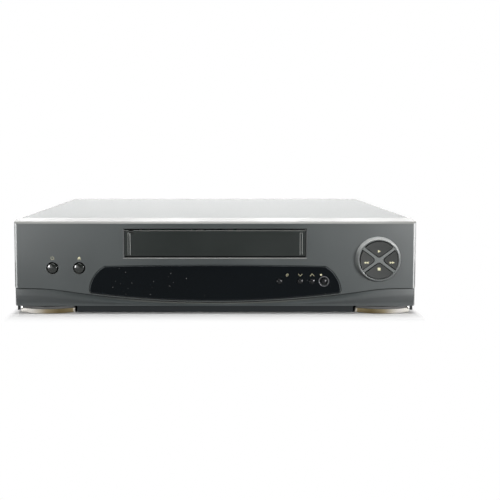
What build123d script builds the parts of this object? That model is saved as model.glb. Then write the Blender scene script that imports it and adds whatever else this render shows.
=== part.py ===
"""VHS video cassette recorder, built as an assembly of separate pieces.

The frame has +X to the right, +Y to the back and +Z up. The origin lies on the floor, below the
middle of the machine's overall depth. All sizes are in millimetres.
"""

import os
from math import atan, atan2, cos, degrees, hypot, radians, sin, sqrt

from build123d import *

# ---- Driving dimensions: the case ------------------------------------------------------------------
body_width = 430.0
body_depth = 285.0  # from the front panel's face to the rear panel's face
cover_rise = 2.0  # how far the cover's top stands above the front panel's face
panel_depth = 19.0  # how far the front panel's rim reaches back
panel_wall = 4.0
panel_rim_wall = 2.4
corner_radius = 3.5
face_bevel = 2.0
cover_thickness = 1.0
cover_inset = 1.0  # the cover's sides lie this far inside the front panel's
cover_bend = 3.0
cover_side_gap = 0.3
cover_foot_rise = 0.6  # from the chassis's underside to the cover's lower edges
chassis_floor = 7.6  # underside of the chassis
chassis_thickness = 1.5
chassis_bend = 1.2
chassis_wall_height = 16.0
rear_panel_thickness = 1.2
slip = 0.2  # gap between sheet-metal pieces that slide past each other

# ---- Driving dimensions: the lower curve of the front ----------------------------------------------
curve_low = 12.4  # height of the plate's lower edge at the middle
curve_rise = 15.0  # how much higher that edge lies near the ends
curve_end_inset = 15.0  # from the body's side to where the curve runs out
curve_end_share = 0.2  # share of the curve's total radius that its end arcs take
band_inset = 0.3
band_step = 0.3  # the band's fullest line lies this far behind the plate's face
band_roll = 3.6  # how far the band's top rolls back
band_overlap = 1.0  # how far the band's top is hidden behind the plate
band_end_radius = 5.0
plate_corner = 4.0
lower_edge_round = 1.4
shelf_thickness = 2.0
skirt_bottom = 1.5
skirt_setback = 6.0
skirt_wall = 2.5
skirt_foot_gap = 2.5
tab_foot_gap = 0.4
tab_inset = 1.6  # from the body's side to the tab beside the foot
tab_bottom = 3.6
tunnel_wall = 2.0
lug_width = 5.0
lug_reach = 3.4

# ---- Driving dimensions: cassette, slot and door ---------------------------------------------------
cassette_width = 188.0
cassette_depth = 104.0
cassette_height = 25.0
slot_side_play = 3.3
slot_play = 5.2  # free height above the cassette
slot_over_window = 7.6
panel_over_slot = 8.4
slot_bevel = 0.9
door_side_gap = 0.5
door_head_gap = 0.9
door_foot_gap = 1.4
door_thickness = 1.8
door_setback = 1.4
hinge_radius = 1.6
hinge_pin_radius = 0.9
hinge_pin_length = 2.4
running_gap = 0.05  # radial clearance of a shaft in its bearing
door_ridge_inset = 4.8
door_ridge_width = 2.8
door_ridge_proud = 0.6
door_ridge_bevel = 0.5
spring_inset = 4.5
spring_width = 5.0
spring_leg = 9.0

# ---- Driving dimensions: display window and controls -----------------------------------------------
window_rim = 2.0  # width of the plate left below the window
window_top = 53.8
window_top_drop = 1.3
window_key_gap = 9.8  # from the eject key's axis to the window's end
window_slant = 17.5  # how much narrower the window's head is at each end
window_side_bulge = 4.8  # how far the ends swell beyond their chords
window_corner = 3.0
window_thickness = 2.6
window_setback = 0.3
window_ledge = 2.4
window_open_gap = 12.9  # the plate is closed behind the keys from here on
window_edge_bevel = 1.4
fit_gap = 0.15

guide_tube_length = 4.5
tube_wall = 1.6
post_radius = 3.2
post_bore = 1.2
round_key_radius = 5.3
round_key_play = 1.2
round_key_height = 50.2
round_key_side = 41.1  # from the body's side to the power key's axis
round_key_spacing = 28.6
small_key_radius = 3.0
small_key_play = 0.4
small_key_height = 35.8
record_inset = 19.0  # from the window's end to the record key's axis
channel_spacing = 12.65
timer_spacing = 22.3
record_ring_gap = 1.7
record_ring_width = 0.9
record_ring_proud = 0.3
round_key_proud = 1.6
small_key_proud = 0.9
key_travel = 0.8
key_flange = 1.2
key_flange_reach = 0.8
key_stem_radius = 1.6
key_stem_length = 1.05
key_edge_round = 0.7
key_dish_radius = 420.0

bezel_inset = 41.0  # from the body's side to the keypad's axis
bezel_z = 59.6
bezel_proud = 4.9
key_circle_radius = 20.6
bezel_crown = 1.8
bezel_spigot_wall = 2.3
bezel_flare = 3.7
key_rib = 2.9
key_rib_angle = 37.0
key_gap = 0.8
key_proud = 0.6
key_inner_corner = 3.6
key_outer_corner = 1.2
rib_setback = 0.3  # the ribs stand this far behind the bezel's crown
bezel_crown_round = 0.7

board_thickness = 1.6
switch_size = 6.0
switch_plunger = 1.0
switch_height = 4.2

# ---- Driving dimensions: feet ----------------------------------------------------------------------
foot_side_inset = 4.3  # from the body's side to the foot's outer end
foot_width = 59.0
foot_depth = 34.0
foot_bulge = 7.0
foot_setback = 1.5
foot_corner = 1.8
foot_trim_thickness = 1.2
foot_trim_low = 0.6
foot_trim_height = 4.6
foot_sole_low = 0.2
rear_foot_radius = 13.0
rear_foot_side = 43.0
rear_foot_inset = 42.0  # from the rear face

# ---- Driving dimensions: rear connectors -----------------------------------------------------------
aerial_radius = 5.0
aerial_length = 10.5
aerial_shoulder_radius = 6.4
aerial_shoulder = 0.8
aerial_side = 39.0  # from the body's side to the middle between the two
aerial_spacing = 22.0
aerial_height = 50.0
scart_offset = 68.0
scart_spacing = 62.0
scart_height = 50.0
scart_width = 47.0
scart_tall = 13.5
scart_lip = 2.5
scart_recess = 8.0
phono_flange_radius = 5.4
phono_flange = 1.4
phono_radius = 4.2
phono_length = 8.0
phono_offset = 48.0
phono_spacing = 16.0
phono_height = 50.0
inlet_side = 47.0
inlet_height = 30.0
inlet_width = 20.0
inlet_tall = 11.5
inlet_depth = 14.0
inlet_pin_spacing = 8.6

# ---- Driving dimensions: tape deck -----------------------------------------------------------------
# Places along Y are measured back from the line of the two reels.
deck_thickness = 1.6
deck_margin = 13.5  # from the lift's frames to the deck plate's edge
deck_front_reach = 67.8
deck_back_reach = 148.2
deck_post_inset = 8.0
sheet = 1.2  # thickness of the lift's sheet metal
side_gap = 0.3  # gap between neighbouring plates of the lift
holder_start = 32.0  # from the front panel's face to the holder's front, with the lift out
holder_length = 56.0
holder_ledge = 14.0
holder_travel_in = 72.0
holder_side_play = 0.3
holder_floor_gap = 0.6  # the cassette's path lies this far above the slot's floor
holder_head_gap = 0.9
guide_pin_radius = 1.5
guide_pin_height = 12.0  # above the holder's floor
guide_pin_inset = 14.0
reel_spacing = 92.0
reel_rim_radius = 19.5
reel_rim_height = 4.0
reel_seat_height = 12.6  # above the deck
reel_seat_radius = 9.0
reel_hub_radius = 4.6
reel_hub_height = 14.0
reel_shaft_radius = 1.5
reel_setback = 46.0  # from the cassette's outer edge to its hubs
post_clearance = 0.5  # axial gap below a part that turns on a post
drum_radius = 31.0
drum_back = 106.2
drum_tilt = 5.96
drum_foot_height = 7.0
drum_lower_height = 17.0
drum_upper_height = 13.5
drum_slit = 0.3
drum_shaft_radius = 3.0
capstan_x = 56.0
capstan_back = 74.2
capstan_radius = 1.5
capstan_height = 36.0
capstan_bearing_height = 11.0
flywheel_radius = 22.0
flywheel_thickness = 5.0
flywheel_clearance = 2.5  # between the flywheel and the deck
capstan_pulley_radius = 6.0
pulley_height = 4.0
bearing_radius = 5.0
pinch_radius = 6.0
pinch_pivot_x = 80.0
pinch_pivot_back = 84.2
pinch_angle = -30.0  # direction from the capstan to the pressed roller, from +X
pinch_release = 22.0  # degrees that the arm stands clear at rest
pinch_gap = 0.1
arm_post_radius = 2.0
arm_boss_radius = 4.5
arm_thickness = 2.4
pinch_shaft_radius = 1.2
pinch_arm_gap = 0.6  # between the capstan's bearing and the arm that swings above it
roller_arm_gap = 1.0
roller_height = 18.0
lamp_back = 49.2
wheel_thickness = 3.0
clutch_wheel_radius = 15.6
pulley_floor_gap = 1.8
idler_radius = 14.0
idler_mesh = 0.4  # between the clutch's wheel and the idler wheel
clutch_back = 28.2
clutch_pulley_radius = 14.0
clutch_shaft_radius = 2.0
belt_thickness = 1.2
belt_width = 2.4
belt_gap = 0.3
guide_rest_x = 36.0
guide_rest_back = 50.2
guide_drum_gap = 11.0  # from the drum to a loaded guide's axis
guide_end_back = 104.2
guide_slot_width = 5.0
guide_foot_radius = 6.0
guide_foot_thickness = 1.6
guide_roller_radius = 3.2
guide_height = 31.0
cam_x = -80.0
cam_back = 106.2
cam_radius = 17.0
cam_teeth = 24
worm_wheel_radius = 13.0
worm_radius = 3.0
motor_radius = 9.0
motor_length = 26.0
head_x = 61.0
head_back = 92.2
erase_x = -62.0
erase_back = 74.2

# ---- Driving dimensions: cover, vents and screws ---------------------------------------------------
vent_count = 14
vent_pitch = 6.0
vent_width = 2.4
vent_length = 26.0
vent_back_inset = 24.0
vent_low = 56.0
screw_radius = 3.6
screw_head = 0.9
side_screw_rise = 9.9  # above the chassis's floor
side_screw_y = 70.0

# ---- Driving dimensions: boards and power supply ---------------------------------------------------
board_rise = 4.9  # from the chassis's floor to the two flat boards
board_deck_gap = 6.0
board_side_gap = 7.7
board_back_gap = 4.8
main_board_gap = 8.0  # behind the front panel
power_board_length = 164.0
standoff_radius = 3.0
display_width = 110.0
display_height = 21.0
display_window_gap = 6.0
display_low = 27.0
display_depth = 8.0
sensor_x = 12.7
sensor_z = 21.5
jack_board_gap = 15.0  # from the jack board's back to the rear panel

# ---- Worked out from the driving dimensions --------------------------------------------------------
# Heights of the front, from the window up.
slot_floor = window_top + slot_over_window
slot_height = cassette_height + slot_play
slot_top = slot_floor + slot_height
slot_width = cassette_width + 2 * slot_side_play
panel_top = slot_top + panel_over_slot
body_height = panel_top + cover_rise

overall_depth = bezel_proud + key_proud + body_depth + aerial_length
front_face = -overall_depth / 2 + bezel_proud + key_proud
rear_face = front_face + body_depth
panel_back = front_face + panel_depth
panel_wall_back = front_face + panel_wall
half_width = body_width / 2
cover_half_width = half_width - cover_inset
cover_inner = cover_half_width - cover_thickness
cover_top = body_height
cover_foot = chassis_floor + cover_foot_rise
chassis_half_width = cover_inner - cover_side_gap
floor_top = chassis_floor + chassis_thickness
band_bottom = floor_top + slip
side_screw_height = floor_top + side_screw_rise

curve_half_span = half_width - curve_end_inset
curve_angle = 2 * degrees(atan(curve_rise / curve_half_span))
curve_radius = curve_half_span / sin(radians(curve_angle))
curve_end_radius = curve_radius * curve_end_share
curve_middle_radius = curve_radius - curve_end_radius
curve_high = curve_low + curve_rise

door_face = front_face + door_setback
door_half_width = slot_width / 2 - door_side_gap
door_foot = slot_floor + door_foot_gap
hinge_y = door_face + hinge_radius
hinge_z = slot_top - door_head_gap - hinge_radius
spring_left = -door_half_width + spring_inset
band_half_width = half_width - band_inset
band_stations = [band_half_width * step / 6 for step in range(-6, 7)]
skirt_front = front_face + skirt_setback

# Feet, and the skirt and tabs beside them.
foot_x = half_width - foot_side_inset - foot_width / 2
foot_trim_high = foot_trim_low + foot_trim_height
skirt_half_width = foot_x - foot_width / 2 - skirt_foot_gap
tab_inner = foot_x + foot_width / 2 + tab_foot_gap
tab_outer = half_width - tab_inset
rear_foot_x = half_width - rear_foot_side
rear_foot_y = rear_face - rear_foot_inset

# Keys and the board behind them.
power_x = -(half_width - round_key_side)
eject_x = power_x + round_key_spacing
round_key_hole = round_key_radius + round_key_play
small_key_hole = small_key_radius + small_key_play
record_ring_inner = small_key_radius + record_ring_gap
record_ring_outer = record_ring_inner + record_ring_width
front_board_gap = (
    guide_tube_length + slip + key_flange + key_stem_length + key_travel + running_gap + switch_height
)
board_front = panel_wall_back + front_board_gap
switch_front = board_front - switch_height
switch_ends = switch_front - key_travel - running_gap  # where the stems of the keys end
window_front = front_face + window_setback
bezel_x = half_width - bezel_inset
bezel_top_radius = key_circle_radius + bezel_crown
bezel_spigot_radius = key_circle_radius + bezel_spigot_wall
bezel_base_radius = key_circle_radius + bezel_flare
bezel_front = front_face - bezel_proud
cluster_front = bezel_front - key_proud
key_dish_sag = key_circle_radius**2 / (2 * key_dish_radius)
cluster_side = {"play": -Axis.Y, "stop": Axis.Y, "rewind": Axis.X, "forward": -Axis.X}

# The window's foot runs beside the plate's lower edge, and its ends are arcs that swell outwards.
window_half_width = -eject_x - window_key_gap
window_half_top = window_half_width - window_slant
window_foot_radius = curve_middle_radius - window_rim
window_foot = curve_low + curve_middle_radius - sqrt(window_foot_radius**2 - window_half_width**2)
side_drop = window_top - window_top_drop - window_foot
side_length = hypot(window_slant, side_drop)
window_end_radius = (side_length**2 / 4 + window_side_bulge**2) / (2 * window_side_bulge)
window_end_center = (
    (window_half_top + window_half_width) / 2
    - (window_end_radius - window_side_bulge) * side_drop / side_length,
    (window_top - window_top_drop + window_foot) / 2
    - (window_end_radius - window_side_bulge) * window_slant / side_length,
)
window_head_radius = (window_half_top**2 + window_top_drop**2) / (2 * window_top_drop)
record_x = window_half_width - record_inset
channel_up_x = record_x - channel_spacing
channel_down_x = channel_up_x - channel_spacing
timer_x = channel_down_x - timer_spacing
window_open_right = timer_x - window_open_gap
display_right = window_open_right - display_window_gap
display_left = display_right - display_width
display_high = display_low + display_height

# The lift: the holder in its outer position, its pins, and the plates beside it.
flywheel_low = floor_top + pulley_floor_gap + pulley_height
deck_floor = flywheel_low + flywheel_thickness + flywheel_clearance
deck_top = deck_floor + deck_thickness
reel_seat = deck_top + reel_seat_height
holder_front = front_face + holder_start
holder_back = holder_front + holder_length
holder_floor = slot_floor + holder_floor_gap
holder_travel_down = holder_floor - reel_seat
holder_head = holder_floor + cassette_height + holder_head_gap
holder_inner = cassette_width / 2 + holder_side_play
holder_pins = (holder_front + guide_pin_inset, holder_back - guide_pin_inset)
pin_height = holder_floor + guide_pin_height
track_radius = guide_pin_radius + running_gap * 2
cheek_inner = holder_inner + sheet + side_gap
frame_inner = cheek_inner + sheet + side_gap
frame_top = holder_head + sheet + 2.4
slider_front = holder_front + 7
slider_back = holder_back - 7
cheek_foot = pin_height - holder_travel_down - 5

# The loaded cassette's outer edge lies behind the holder's back by the cassette's depth.
loaded_front = holder_back + holder_travel_in - sheet - cassette_depth
reel_y = loaded_front + reel_setback
reel_low = deck_top + post_clearance
reel_post_top = reel_seat + reel_hub_height - 4

# The deck plate and what stands on it.
deck_half_width = frame_inner + sheet + deck_margin
deck_front = reel_y - deck_front_reach
deck_back = reel_y + deck_back_reach
drum_y = reel_y + drum_back
drum_foot = deck_top + drum_foot_height
capstan_y = reel_y + capstan_back
capstan_top = deck_top + capstan_height
capstan_bearing_top = deck_top + capstan_bearing_height
pinch_pivot_y = reel_y + pinch_pivot_back
lamp_y = reel_y + lamp_back
clutch_y = reel_y + clutch_back
cam_y = reel_y + cam_back
head_y = reel_y + head_back
erase_y = reel_y + erase_back
frame_back = holder_back + holder_travel_in + 8
frame_foot_front = deck_front + 24
frame_foot_back = frame_back - 14
deck_posts = [
    (hand * (deck_half_width - deck_post_inset), y)
    for hand in (-1, 1)
    for y in (deck_front + deck_post_inset, deck_back - deck_post_inset)
]

guide_rest_y = reel_y + guide_rest_back
guide_end_x = drum_radius + guide_drum_gap
guide_end_y = reel_y + guide_end_back
guide_travel = hypot(guide_end_x - guide_rest_x, guide_end_y - guide_rest_y)
guide_middle_x = (guide_rest_x + guide_end_x) / 2
guide_middle_y = (guide_rest_y + guide_end_y) / 2
guide_lean = degrees(atan2(guide_end_x - guide_rest_x, guide_end_y - guide_rest_y))
guide_top = deck_top + guide_height
tape_posts = ((guide_rest_x - 88, guide_rest_y + 10), (guide_rest_x + 14, guide_rest_y + 6))

# The drive: pulleys under the deck, friction wheels and arms above it.
pulley_low = floor_top + pulley_floor_gap
wheel_low = deck_top + post_clearance
arm_low = wheel_low + wheel_thickness + 1.0
arm_post_top = arm_low + arm_thickness + 1.5
idler_reach = clutch_wheel_radius + idler_radius + idler_mesh
pinch_arm_low = capstan_bearing_top + pinch_arm_gap
pinch_post_top = pinch_arm_low + arm_thickness + 1.5
pressed_distance = capstan_radius + pinch_radius + pinch_gap
pressed_x = capstan_x + pressed_distance * cos(radians(pinch_angle))
pressed_y = capstan_y + pressed_distance * sin(radians(pinch_angle))
pinch_reach = hypot(pressed_x - pinch_pivot_x, pressed_y - pinch_pivot_y)
pinch_direction = (
    degrees(atan2(pressed_y - pinch_pivot_y, pressed_x - pinch_pivot_x)) + pinch_release
)
roller_x = pinch_pivot_x + pinch_reach * cos(radians(pinch_direction))
roller_y = pinch_pivot_y + pinch_reach * sin(radians(pinch_direction))
roller_low = pinch_arm_low + arm_thickness + roller_arm_gap
roller_top = roller_low + roller_height
worm_height = deck_top + 10.5
cam_top = worm_height + 3
motor_y = cam_y + worm_wheel_radius + worm_radius + 0.3
motor_left = cam_x + cam_radius + 1

# Boards, connectors and screws.
rear_inner = rear_face - rear_panel_thickness
jack_board_front = rear_inner - jack_board_gap
jack_board_back = jack_board_front + board_thickness
aerial_x = -(half_width - aerial_side)
scart_x = aerial_x + scart_offset
phono_x = scart_x + scart_spacing + phono_offset
inlet_x = half_width - inlet_side
scart_places = [(scart_x + scart_spacing * step, scart_height) for step in (0, 1)]
phono_places = [(phono_x + phono_spacing * step, phono_height) for step in (0, 1)]
aerial_places = [(aerial_x + aerial_spacing * (step - 0.5), aerial_height) for step in (0, 1)]
cover_screws = [(hand, y) for hand in (-1, 1) for y in (-side_screw_y, side_screw_y)]
rear_screws = (
    (-half_width + 17, body_height - 12),
    (-60.0, body_height - 9),
    (60.0, body_height - 9),
    (half_width - 17, body_height - 12),
    (aerial_x + 26, floor_top + 6),
    (inlet_x - 48, floor_top + 6),
)
board_height = floor_top + board_rise
board_top = board_height + board_thickness
board_inner = deck_half_width + board_deck_gap
board_outer = chassis_half_width - board_side_gap
board_middle = (board_inner + board_outer) / 2
boards_back = rear_inner - board_back_gap
main_board_front = panel_back + main_board_gap
power_board_front = boards_back - power_board_length
main_standoffs = [
    (-x, y)
    for x in (board_inner + 6, board_outer - 6)
    for y in (main_board_front + 6, (main_board_front + boards_back) / 2, boards_back - 6)
]
power_standoffs = [
    (x, y)
    for x in (board_inner + 6, board_outer - 6)
    for y in (power_board_front + 6, boards_back - 6)
]
transformer_x = (board_inner + 6, board_inner + 42)
transformer_y = (boards_back - 120, boards_back - 82)
transformer_height = 34.0
# Each chip: its place in X and Y, and its width and length.
board_chips = (
    (-board_inner - 32, main_board_front + 48, 24.0, 24.0),
    (-board_outer + 27, main_board_front + 98, 12.0, 30.0),
    (-board_inner - 22, main_board_front + 146, 18.0, 18.0),
)
# Each capacitor: its place in X and Y, its radius and its height.
capacitor_places = (
    (board_inner + 18, boards_back - 62, 9.0, 30.0),
    (board_inner + 40, boards_back - 64, 6.0, 20.0),
    (board_inner + 56, boards_back - 74, 5.0, 16.0),
    (board_inner + 10, boards_back - 22, 6.5, 22.0),
    (board_inner + 22, boards_back - 144, 8.0, 25.0),
    (board_inner + 40, boards_back - 146, 5.0, 14.0),
    (-board_inner - 12, main_board_front + 18, 4.0, 11.0),
    (-board_outer + 15, main_board_front + 28, 4.0, 11.0),
    (-board_outer + 35, main_board_front + 176, 3.2, 9.0),
    (-board_inner - 14, main_board_front + 180, 5.0, 14.0),
    (-board_outer + 27, main_board_front + 194, 4.0, 11.0),
)

# Each round key: its place in X and Z, and the radius of its hole in the plate.
round_key_places = (
    (power_x, round_key_height, round_key_hole),
    (eject_x, round_key_height, round_key_hole),
    (timer_x, small_key_height, small_key_hole),
    (channel_down_x, small_key_height, small_key_hole),
    (channel_up_x, small_key_height, small_key_hole),
    (record_x, small_key_height, small_key_hole),
)
# The front board is several fields, each given as left, right, low and high.
front_board_low = small_key_height - 3.8
front_board_high = round_key_height + 6.8
front_board_fields = (
    (-half_width + 10, half_width - 10, front_board_low, front_board_high),
    (display_left, display_right + 10, sensor_z - 4.0, front_board_low + 1),
    (
        bezel_x - bezel_base_radius,
        bezel_x + bezel_base_radius + 6,
        front_board_low,
        bezel_z + bezel_base_radius,
    ),
)
post_rise = front_board_high - post_radius
board_posts = (
    (-half_width + 23, small_key_height + 2),
    (-deck_half_width, post_rise),
    (deck_half_width, post_rise),
    (half_width - 23, small_key_height),
)


def curve_height(x):
    """Height of the plate's lower edge at width x."""
    if abs(x) >= curve_half_span:
        return curve_high
    if abs(x) <= curve_middle_radius * sin(radians(curve_angle)):
        return curve_low + curve_middle_radius - sqrt(curve_middle_radius**2 - x**2)
    to_end = curve_half_span - abs(x)
    return curve_high - curve_end_radius + sqrt(curve_end_radius**2 - to_end**2)


def across(y):
    """A sketch plane at depth y with X to the right and Z up. A negative extrusion goes back."""
    return Plane.XZ.offset(-y)


def level(z):
    """A sketch plane at height z."""
    return Plane.XY.offset(z)


def side(x):
    """A sketch plane at width x with Y to the right and Z up. A positive extrusion goes to +X."""
    return Plane.YZ.offset(x)


def block(x, y, z, mode=Mode.ADD):
    """A box that spans the pairs x, y and z, in the part being built."""
    with Locations(((x[0] + x[1]) / 2, (y[0] + y[1]) / 2, (z[0] + z[1]) / 2)):
        Box(x[1] - x[0], y[1] - y[0], z[1] - z[0], mode=mode)


def disc(x, y, z, radius, mode=Mode.ADD):
    """An upright cylinder at x, y that spans the pair z."""
    with Locations((x, y, (z[0] + z[1]) / 2)):
        Cylinder(radius, z[1] - z[0], mode=mode)


def peg(x, z, y, radius, mode=Mode.ADD):
    """A cylinder along Y at x, z that spans the pair y."""
    with Locations(Location((x, (y[0] + y[1]) / 2, z), (90, 0, 0))):
        Cylinder(radius, y[1] - y[0], mode=mode)


def pin(y, z, x, radius, mode=Mode.ADD):
    """A cylinder along X at y, z that spans the pair x."""
    with Locations(Location(((x[0] + x[1]) / 2, y, z), (0, 90, 0))):
        Cylinder(radius, x[1] - x[0], mode=mode)


os.makedirs("parts", exist_ok=True)

# ---- Outlines of the front, drawn in X and Z -------------------------------------------------------

with BuildSketch() as plate_outline:
    with BuildLine():
        right_arc = JernArc((curve_half_span, curve_high), (-1, 0), curve_end_radius, curve_angle)
        middle_arc = JernArc(right_arc @ 1, right_arc % 1, curve_middle_radius, -2 * curve_angle)
        left_arc = JernArc(middle_arc @ 1, middle_arc % 1, curve_end_radius, curve_angle)
        Polyline(
            left_arc @ 1,
            (-half_width, curve_high),
            (-half_width, body_height + face_bevel),
            (half_width, body_height + face_bevel),
            (half_width, curve_high),
            (curve_half_span, curve_high),
        )
    make_face()
    fillet(plate_outline.vertices().group_by(Axis.X)[0].sort_by(Axis.Y)[0], plate_corner)
    fillet(plate_outline.vertices().group_by(Axis.X)[-1].sort_by(Axis.Y)[0], plate_corner)

with BuildSketch() as rim_cavity:
    add(plate_outline.sketch)
    offset(amount=-panel_rim_wall)
    with Locations((0, panel_top / 2)):
        Rectangle(body_width, panel_top - 2 * panel_rim_wall, mode=Mode.INTERSECT)


def window_shape(grow):
    """The display window's outline, grown by grow on every side.

    Its head and foot are wide arcs, and its ends swell outwards as one arc each.
    """
    with BuildSketch() as shape:
        with Locations((0, window_end_center[1])):
            SlotCenterToCenter(2 * window_end_center[0], 2 * (window_end_radius + grow))
        with Locations((0, window_top - window_head_radius)):
            Circle(window_head_radius + grow, mode=Mode.INTERSECT)
        with Locations((0, curve_low + curve_middle_radius)):
            Circle(window_foot_radius + grow, mode=Mode.INTERSECT)
        fillet(shape.vertices(), window_corner + grow)
    return shape.sketch


def cluster_shapes(gap):
    """The four transport keys' outlines, each smaller than its pocket by gap on every side."""
    with BuildSketch() as shape:
        with Locations((bezel_x, bezel_z)):
            Circle(key_circle_radius - gap)
            for turn in (key_rib_angle, -key_rib_angle):
                Rectangle(3 * key_circle_radius, key_rib + 2 * gap, rotation=turn, mode=Mode.SUBTRACT)
        inner = shape.vertices().filter_by(
            lambda corner: hypot(corner.X - bezel_x, corner.Y - bezel_z) < key_circle_radius / 2
        )
        fillet(inner, key_inner_corner - gap)
        outer = shape.vertices().filter_by(
            lambda corner: hypot(corner.X - bezel_x, corner.Y - bezel_z) > key_circle_radius - gap - 0.1
        )
        fillet(outer, key_outer_corner - gap)
    return shape.sketch


window_outline = window_shape(0)
window_seat = window_shape(fit_gap)
with BuildSketch() as display_opening:
    add(window_shape(-window_ledge))
    with Locations((window_open_right - window_half_width, window_top / 2)):
        Rectangle(2 * window_half_width, window_top, mode=Mode.INTERSECT)
key_pockets = cluster_shapes(0)
key_centers = [(cap.center().X, cap.center().Y) for cap in cluster_shapes(key_gap).faces()]
switch_places = [(key_x, key_z) for key_x, key_z, hole in round_key_places] + key_centers

# ---- The front panel: one moulding -----------------------------------------------------------------

with BuildPart() as band:
    for station in band_stations:
        top = curve_height(station) + band_overlap
        rise = top - band_bottom
        sweep_back = band_roll - band_step
        roll_radius = (sweep_back**2 + rise**2) / (2 * sweep_back)
        half_turn = atan2(rise, roll_radius - sweep_back) / 2
        fullest = front_face + band_step
        with BuildSketch(side(station)):
            with BuildLine():
                ThreePointArc(
                    (fullest, band_bottom),
                    (
                        fullest + roll_radius * (1 - cos(half_turn)),
                        band_bottom + roll_radius * sin(half_turn),
                    ),
                    (fullest + sweep_back, top),
                )
                Polyline(
                    (fullest + sweep_back, top),
                    (panel_wall_back, top),
                    (panel_wall_back, band_bottom),
                    (fullest, band_bottom),
                )
            make_face()
    loft()
    # The band's ends turn the corner in plan.
    with BuildSketch(level(0)):
        with Locations((0, (front_face - 0.5 + panel_back) / 2)):
            RectangleRounded(2 * band_half_width, panel_depth + 0.5, band_end_radius)
    extrude(amount=body_height, mode=Mode.INTERSECT)

with BuildPart() as front_panel:
    with BuildSketch(across(front_face)):
        add(plate_outline.sketch)
    extrude(amount=-panel_depth)
    fillet(front_panel.faces().sort_by(Axis.Y)[0].edges(), lower_edge_round)
    # The bevel above the face, and the rim's top, which rises to the cover.
    with BuildSketch(side(-half_width)):
        with BuildLine():
            Polyline(
                (front_face, 0),
                (front_face, panel_top - face_bevel),
                (front_face + face_bevel, panel_top),
                (panel_back, body_height),
                (panel_back, 0),
                close=True,
            )
        make_face()
    extrude(amount=body_width, mode=Mode.INTERSECT)
    # The upright front corners are rounded in plan.
    with BuildSketch(level(0)):
        with Locations((0, front_face + panel_depth)):
            RectangleRounded(body_width, 2 * panel_depth, corner_radius)
    extrude(amount=body_height, mode=Mode.INTERSECT)
    with BuildSketch(across(panel_wall_back)):
        add(rim_cavity.sketch)
    extrude(amount=-panel_depth, mode=Mode.SUBTRACT)
    add(band.part)
    # Side returns, floor shelf, skirt and the small tabs outside the feet.
    for hand in (-1, 1):
        outer = hand * band_half_width
        block(
            sorted((outer, outer - hand * panel_rim_wall)),
            (panel_wall_back - 0.5, panel_back),
            (band_bottom, curve_high + panel_rim_wall / 2),
        )
        block(
            sorted((hand * tab_inner, hand * tab_outer)),
            (skirt_front, skirt_front + skirt_wall),
            (tab_bottom, band_bottom + shelf_thickness),
        )
    block(
        (-band_half_width, band_half_width),
        (panel_wall_back - 0.5, panel_back),
        (band_bottom, band_bottom + shelf_thickness),
    )
    block(
        (-skirt_half_width, skirt_half_width),
        (skirt_front, skirt_front + skirt_wall),
        (skirt_bottom, band_bottom + shelf_thickness),
    )
    # The cassette slot with its bevelled edge, and the tunnel behind it.
    block(
        (-slot_width / 2, slot_width / 2),
        (front_face - 1, panel_wall_back + 1),
        (slot_floor, slot_top),
        Mode.SUBTRACT,
    )
    mouth = front_panel.edges().filter_by(
        lambda edge: abs(edge.center().Y - front_face) < 0.01
        and abs(edge.center().X) < slot_width / 2 + 0.1
        and slot_floor - 0.1 < edge.center().Z < slot_top + 0.1
    )
    chamfer(mouth, slot_bevel)
    block(
        (-slot_width / 2 - tunnel_wall, slot_width / 2 + tunnel_wall),
        (panel_wall_back - 0.2, panel_back),
        (slot_floor - tunnel_wall, slot_floor),
    )
    for hand in (-1, 1):
        inner = hand * slot_width / 2
        block(
            sorted((inner, inner + hand * tunnel_wall)),
            (panel_wall_back - 0.2, panel_back),
            (slot_floor - 0.2, slot_top - hinge_radius * 3),
        )
        # Lugs behind the wall take the door's hinge pins.
        block(
            sorted((inner, inner + hand * lug_width)),
            (panel_wall_back - 0.2, hinge_y + lug_reach),
            (hinge_z - lug_reach, hinge_z + lug_reach),
        )
    pin(
        hinge_y,
        hinge_z,
        (-slot_width / 2 - hinge_pin_length - fit_gap, slot_width / 2 + hinge_pin_length + fit_gap),
        hinge_pin_radius + running_gap,
        Mode.SUBTRACT,
    )
    # The seat of the display window and the opening behind it.
    with BuildSketch(across(front_face)):
        add(window_seat)
    extrude(amount=-(window_setback + window_thickness), mode=Mode.SUBTRACT)
    with BuildSketch(across(front_face)):
        add(display_opening.sketch)
    extrude(amount=-panel_wall - 1, mode=Mode.SUBTRACT)
    # Guide tubes and holes of the round keys.
    for key_x, key_z, hole in round_key_places:
        peg(key_x, key_z, (panel_wall_back - 0.5, panel_wall_back + guide_tube_length), hole + tube_wall)
        peg(key_x, key_z, (front_face - 1, panel_back), hole, Mode.SUBTRACT)
    # The transport cluster's hole.
    peg(bezel_x, bezel_z, (front_face - 1, panel_back), bezel_spigot_radius + fit_gap, Mode.SUBTRACT)
    # Posts for the front board.
    with BuildSketch(across(panel_wall_back - 0.5)):
        with Locations(*board_posts):
            Circle(post_radius)
            Circle(post_bore, mode=Mode.SUBTRACT)
    extrude(amount=-front_board_gap - 0.5)
front_panel.part.label = "front_panel"
export_step(front_panel.part, "parts/front_panel.step")

# ---- Window, ring and keys -------------------------------------------------------------------------

with BuildPart() as display_window:
    with BuildSketch(across(window_front)):
        add(window_outline)
        with Locations(*[(key_x, small_key_height) for key_x in (timer_x, channel_down_x, channel_up_x)]):
            Circle(small_key_hole, mode=Mode.SUBTRACT)
        with Locations((record_x, small_key_height)):
            Circle(record_ring_outer + fit_gap, mode=Mode.SUBTRACT)
    extrude(amount=-window_thickness)
    chamfer(display_window.faces().sort_by(Axis.Y)[0].outer_wire().edges(), window_edge_bevel)
display_window.part.label = "display_window"
export_step(display_window.part, "parts/display_window.step")

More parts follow.
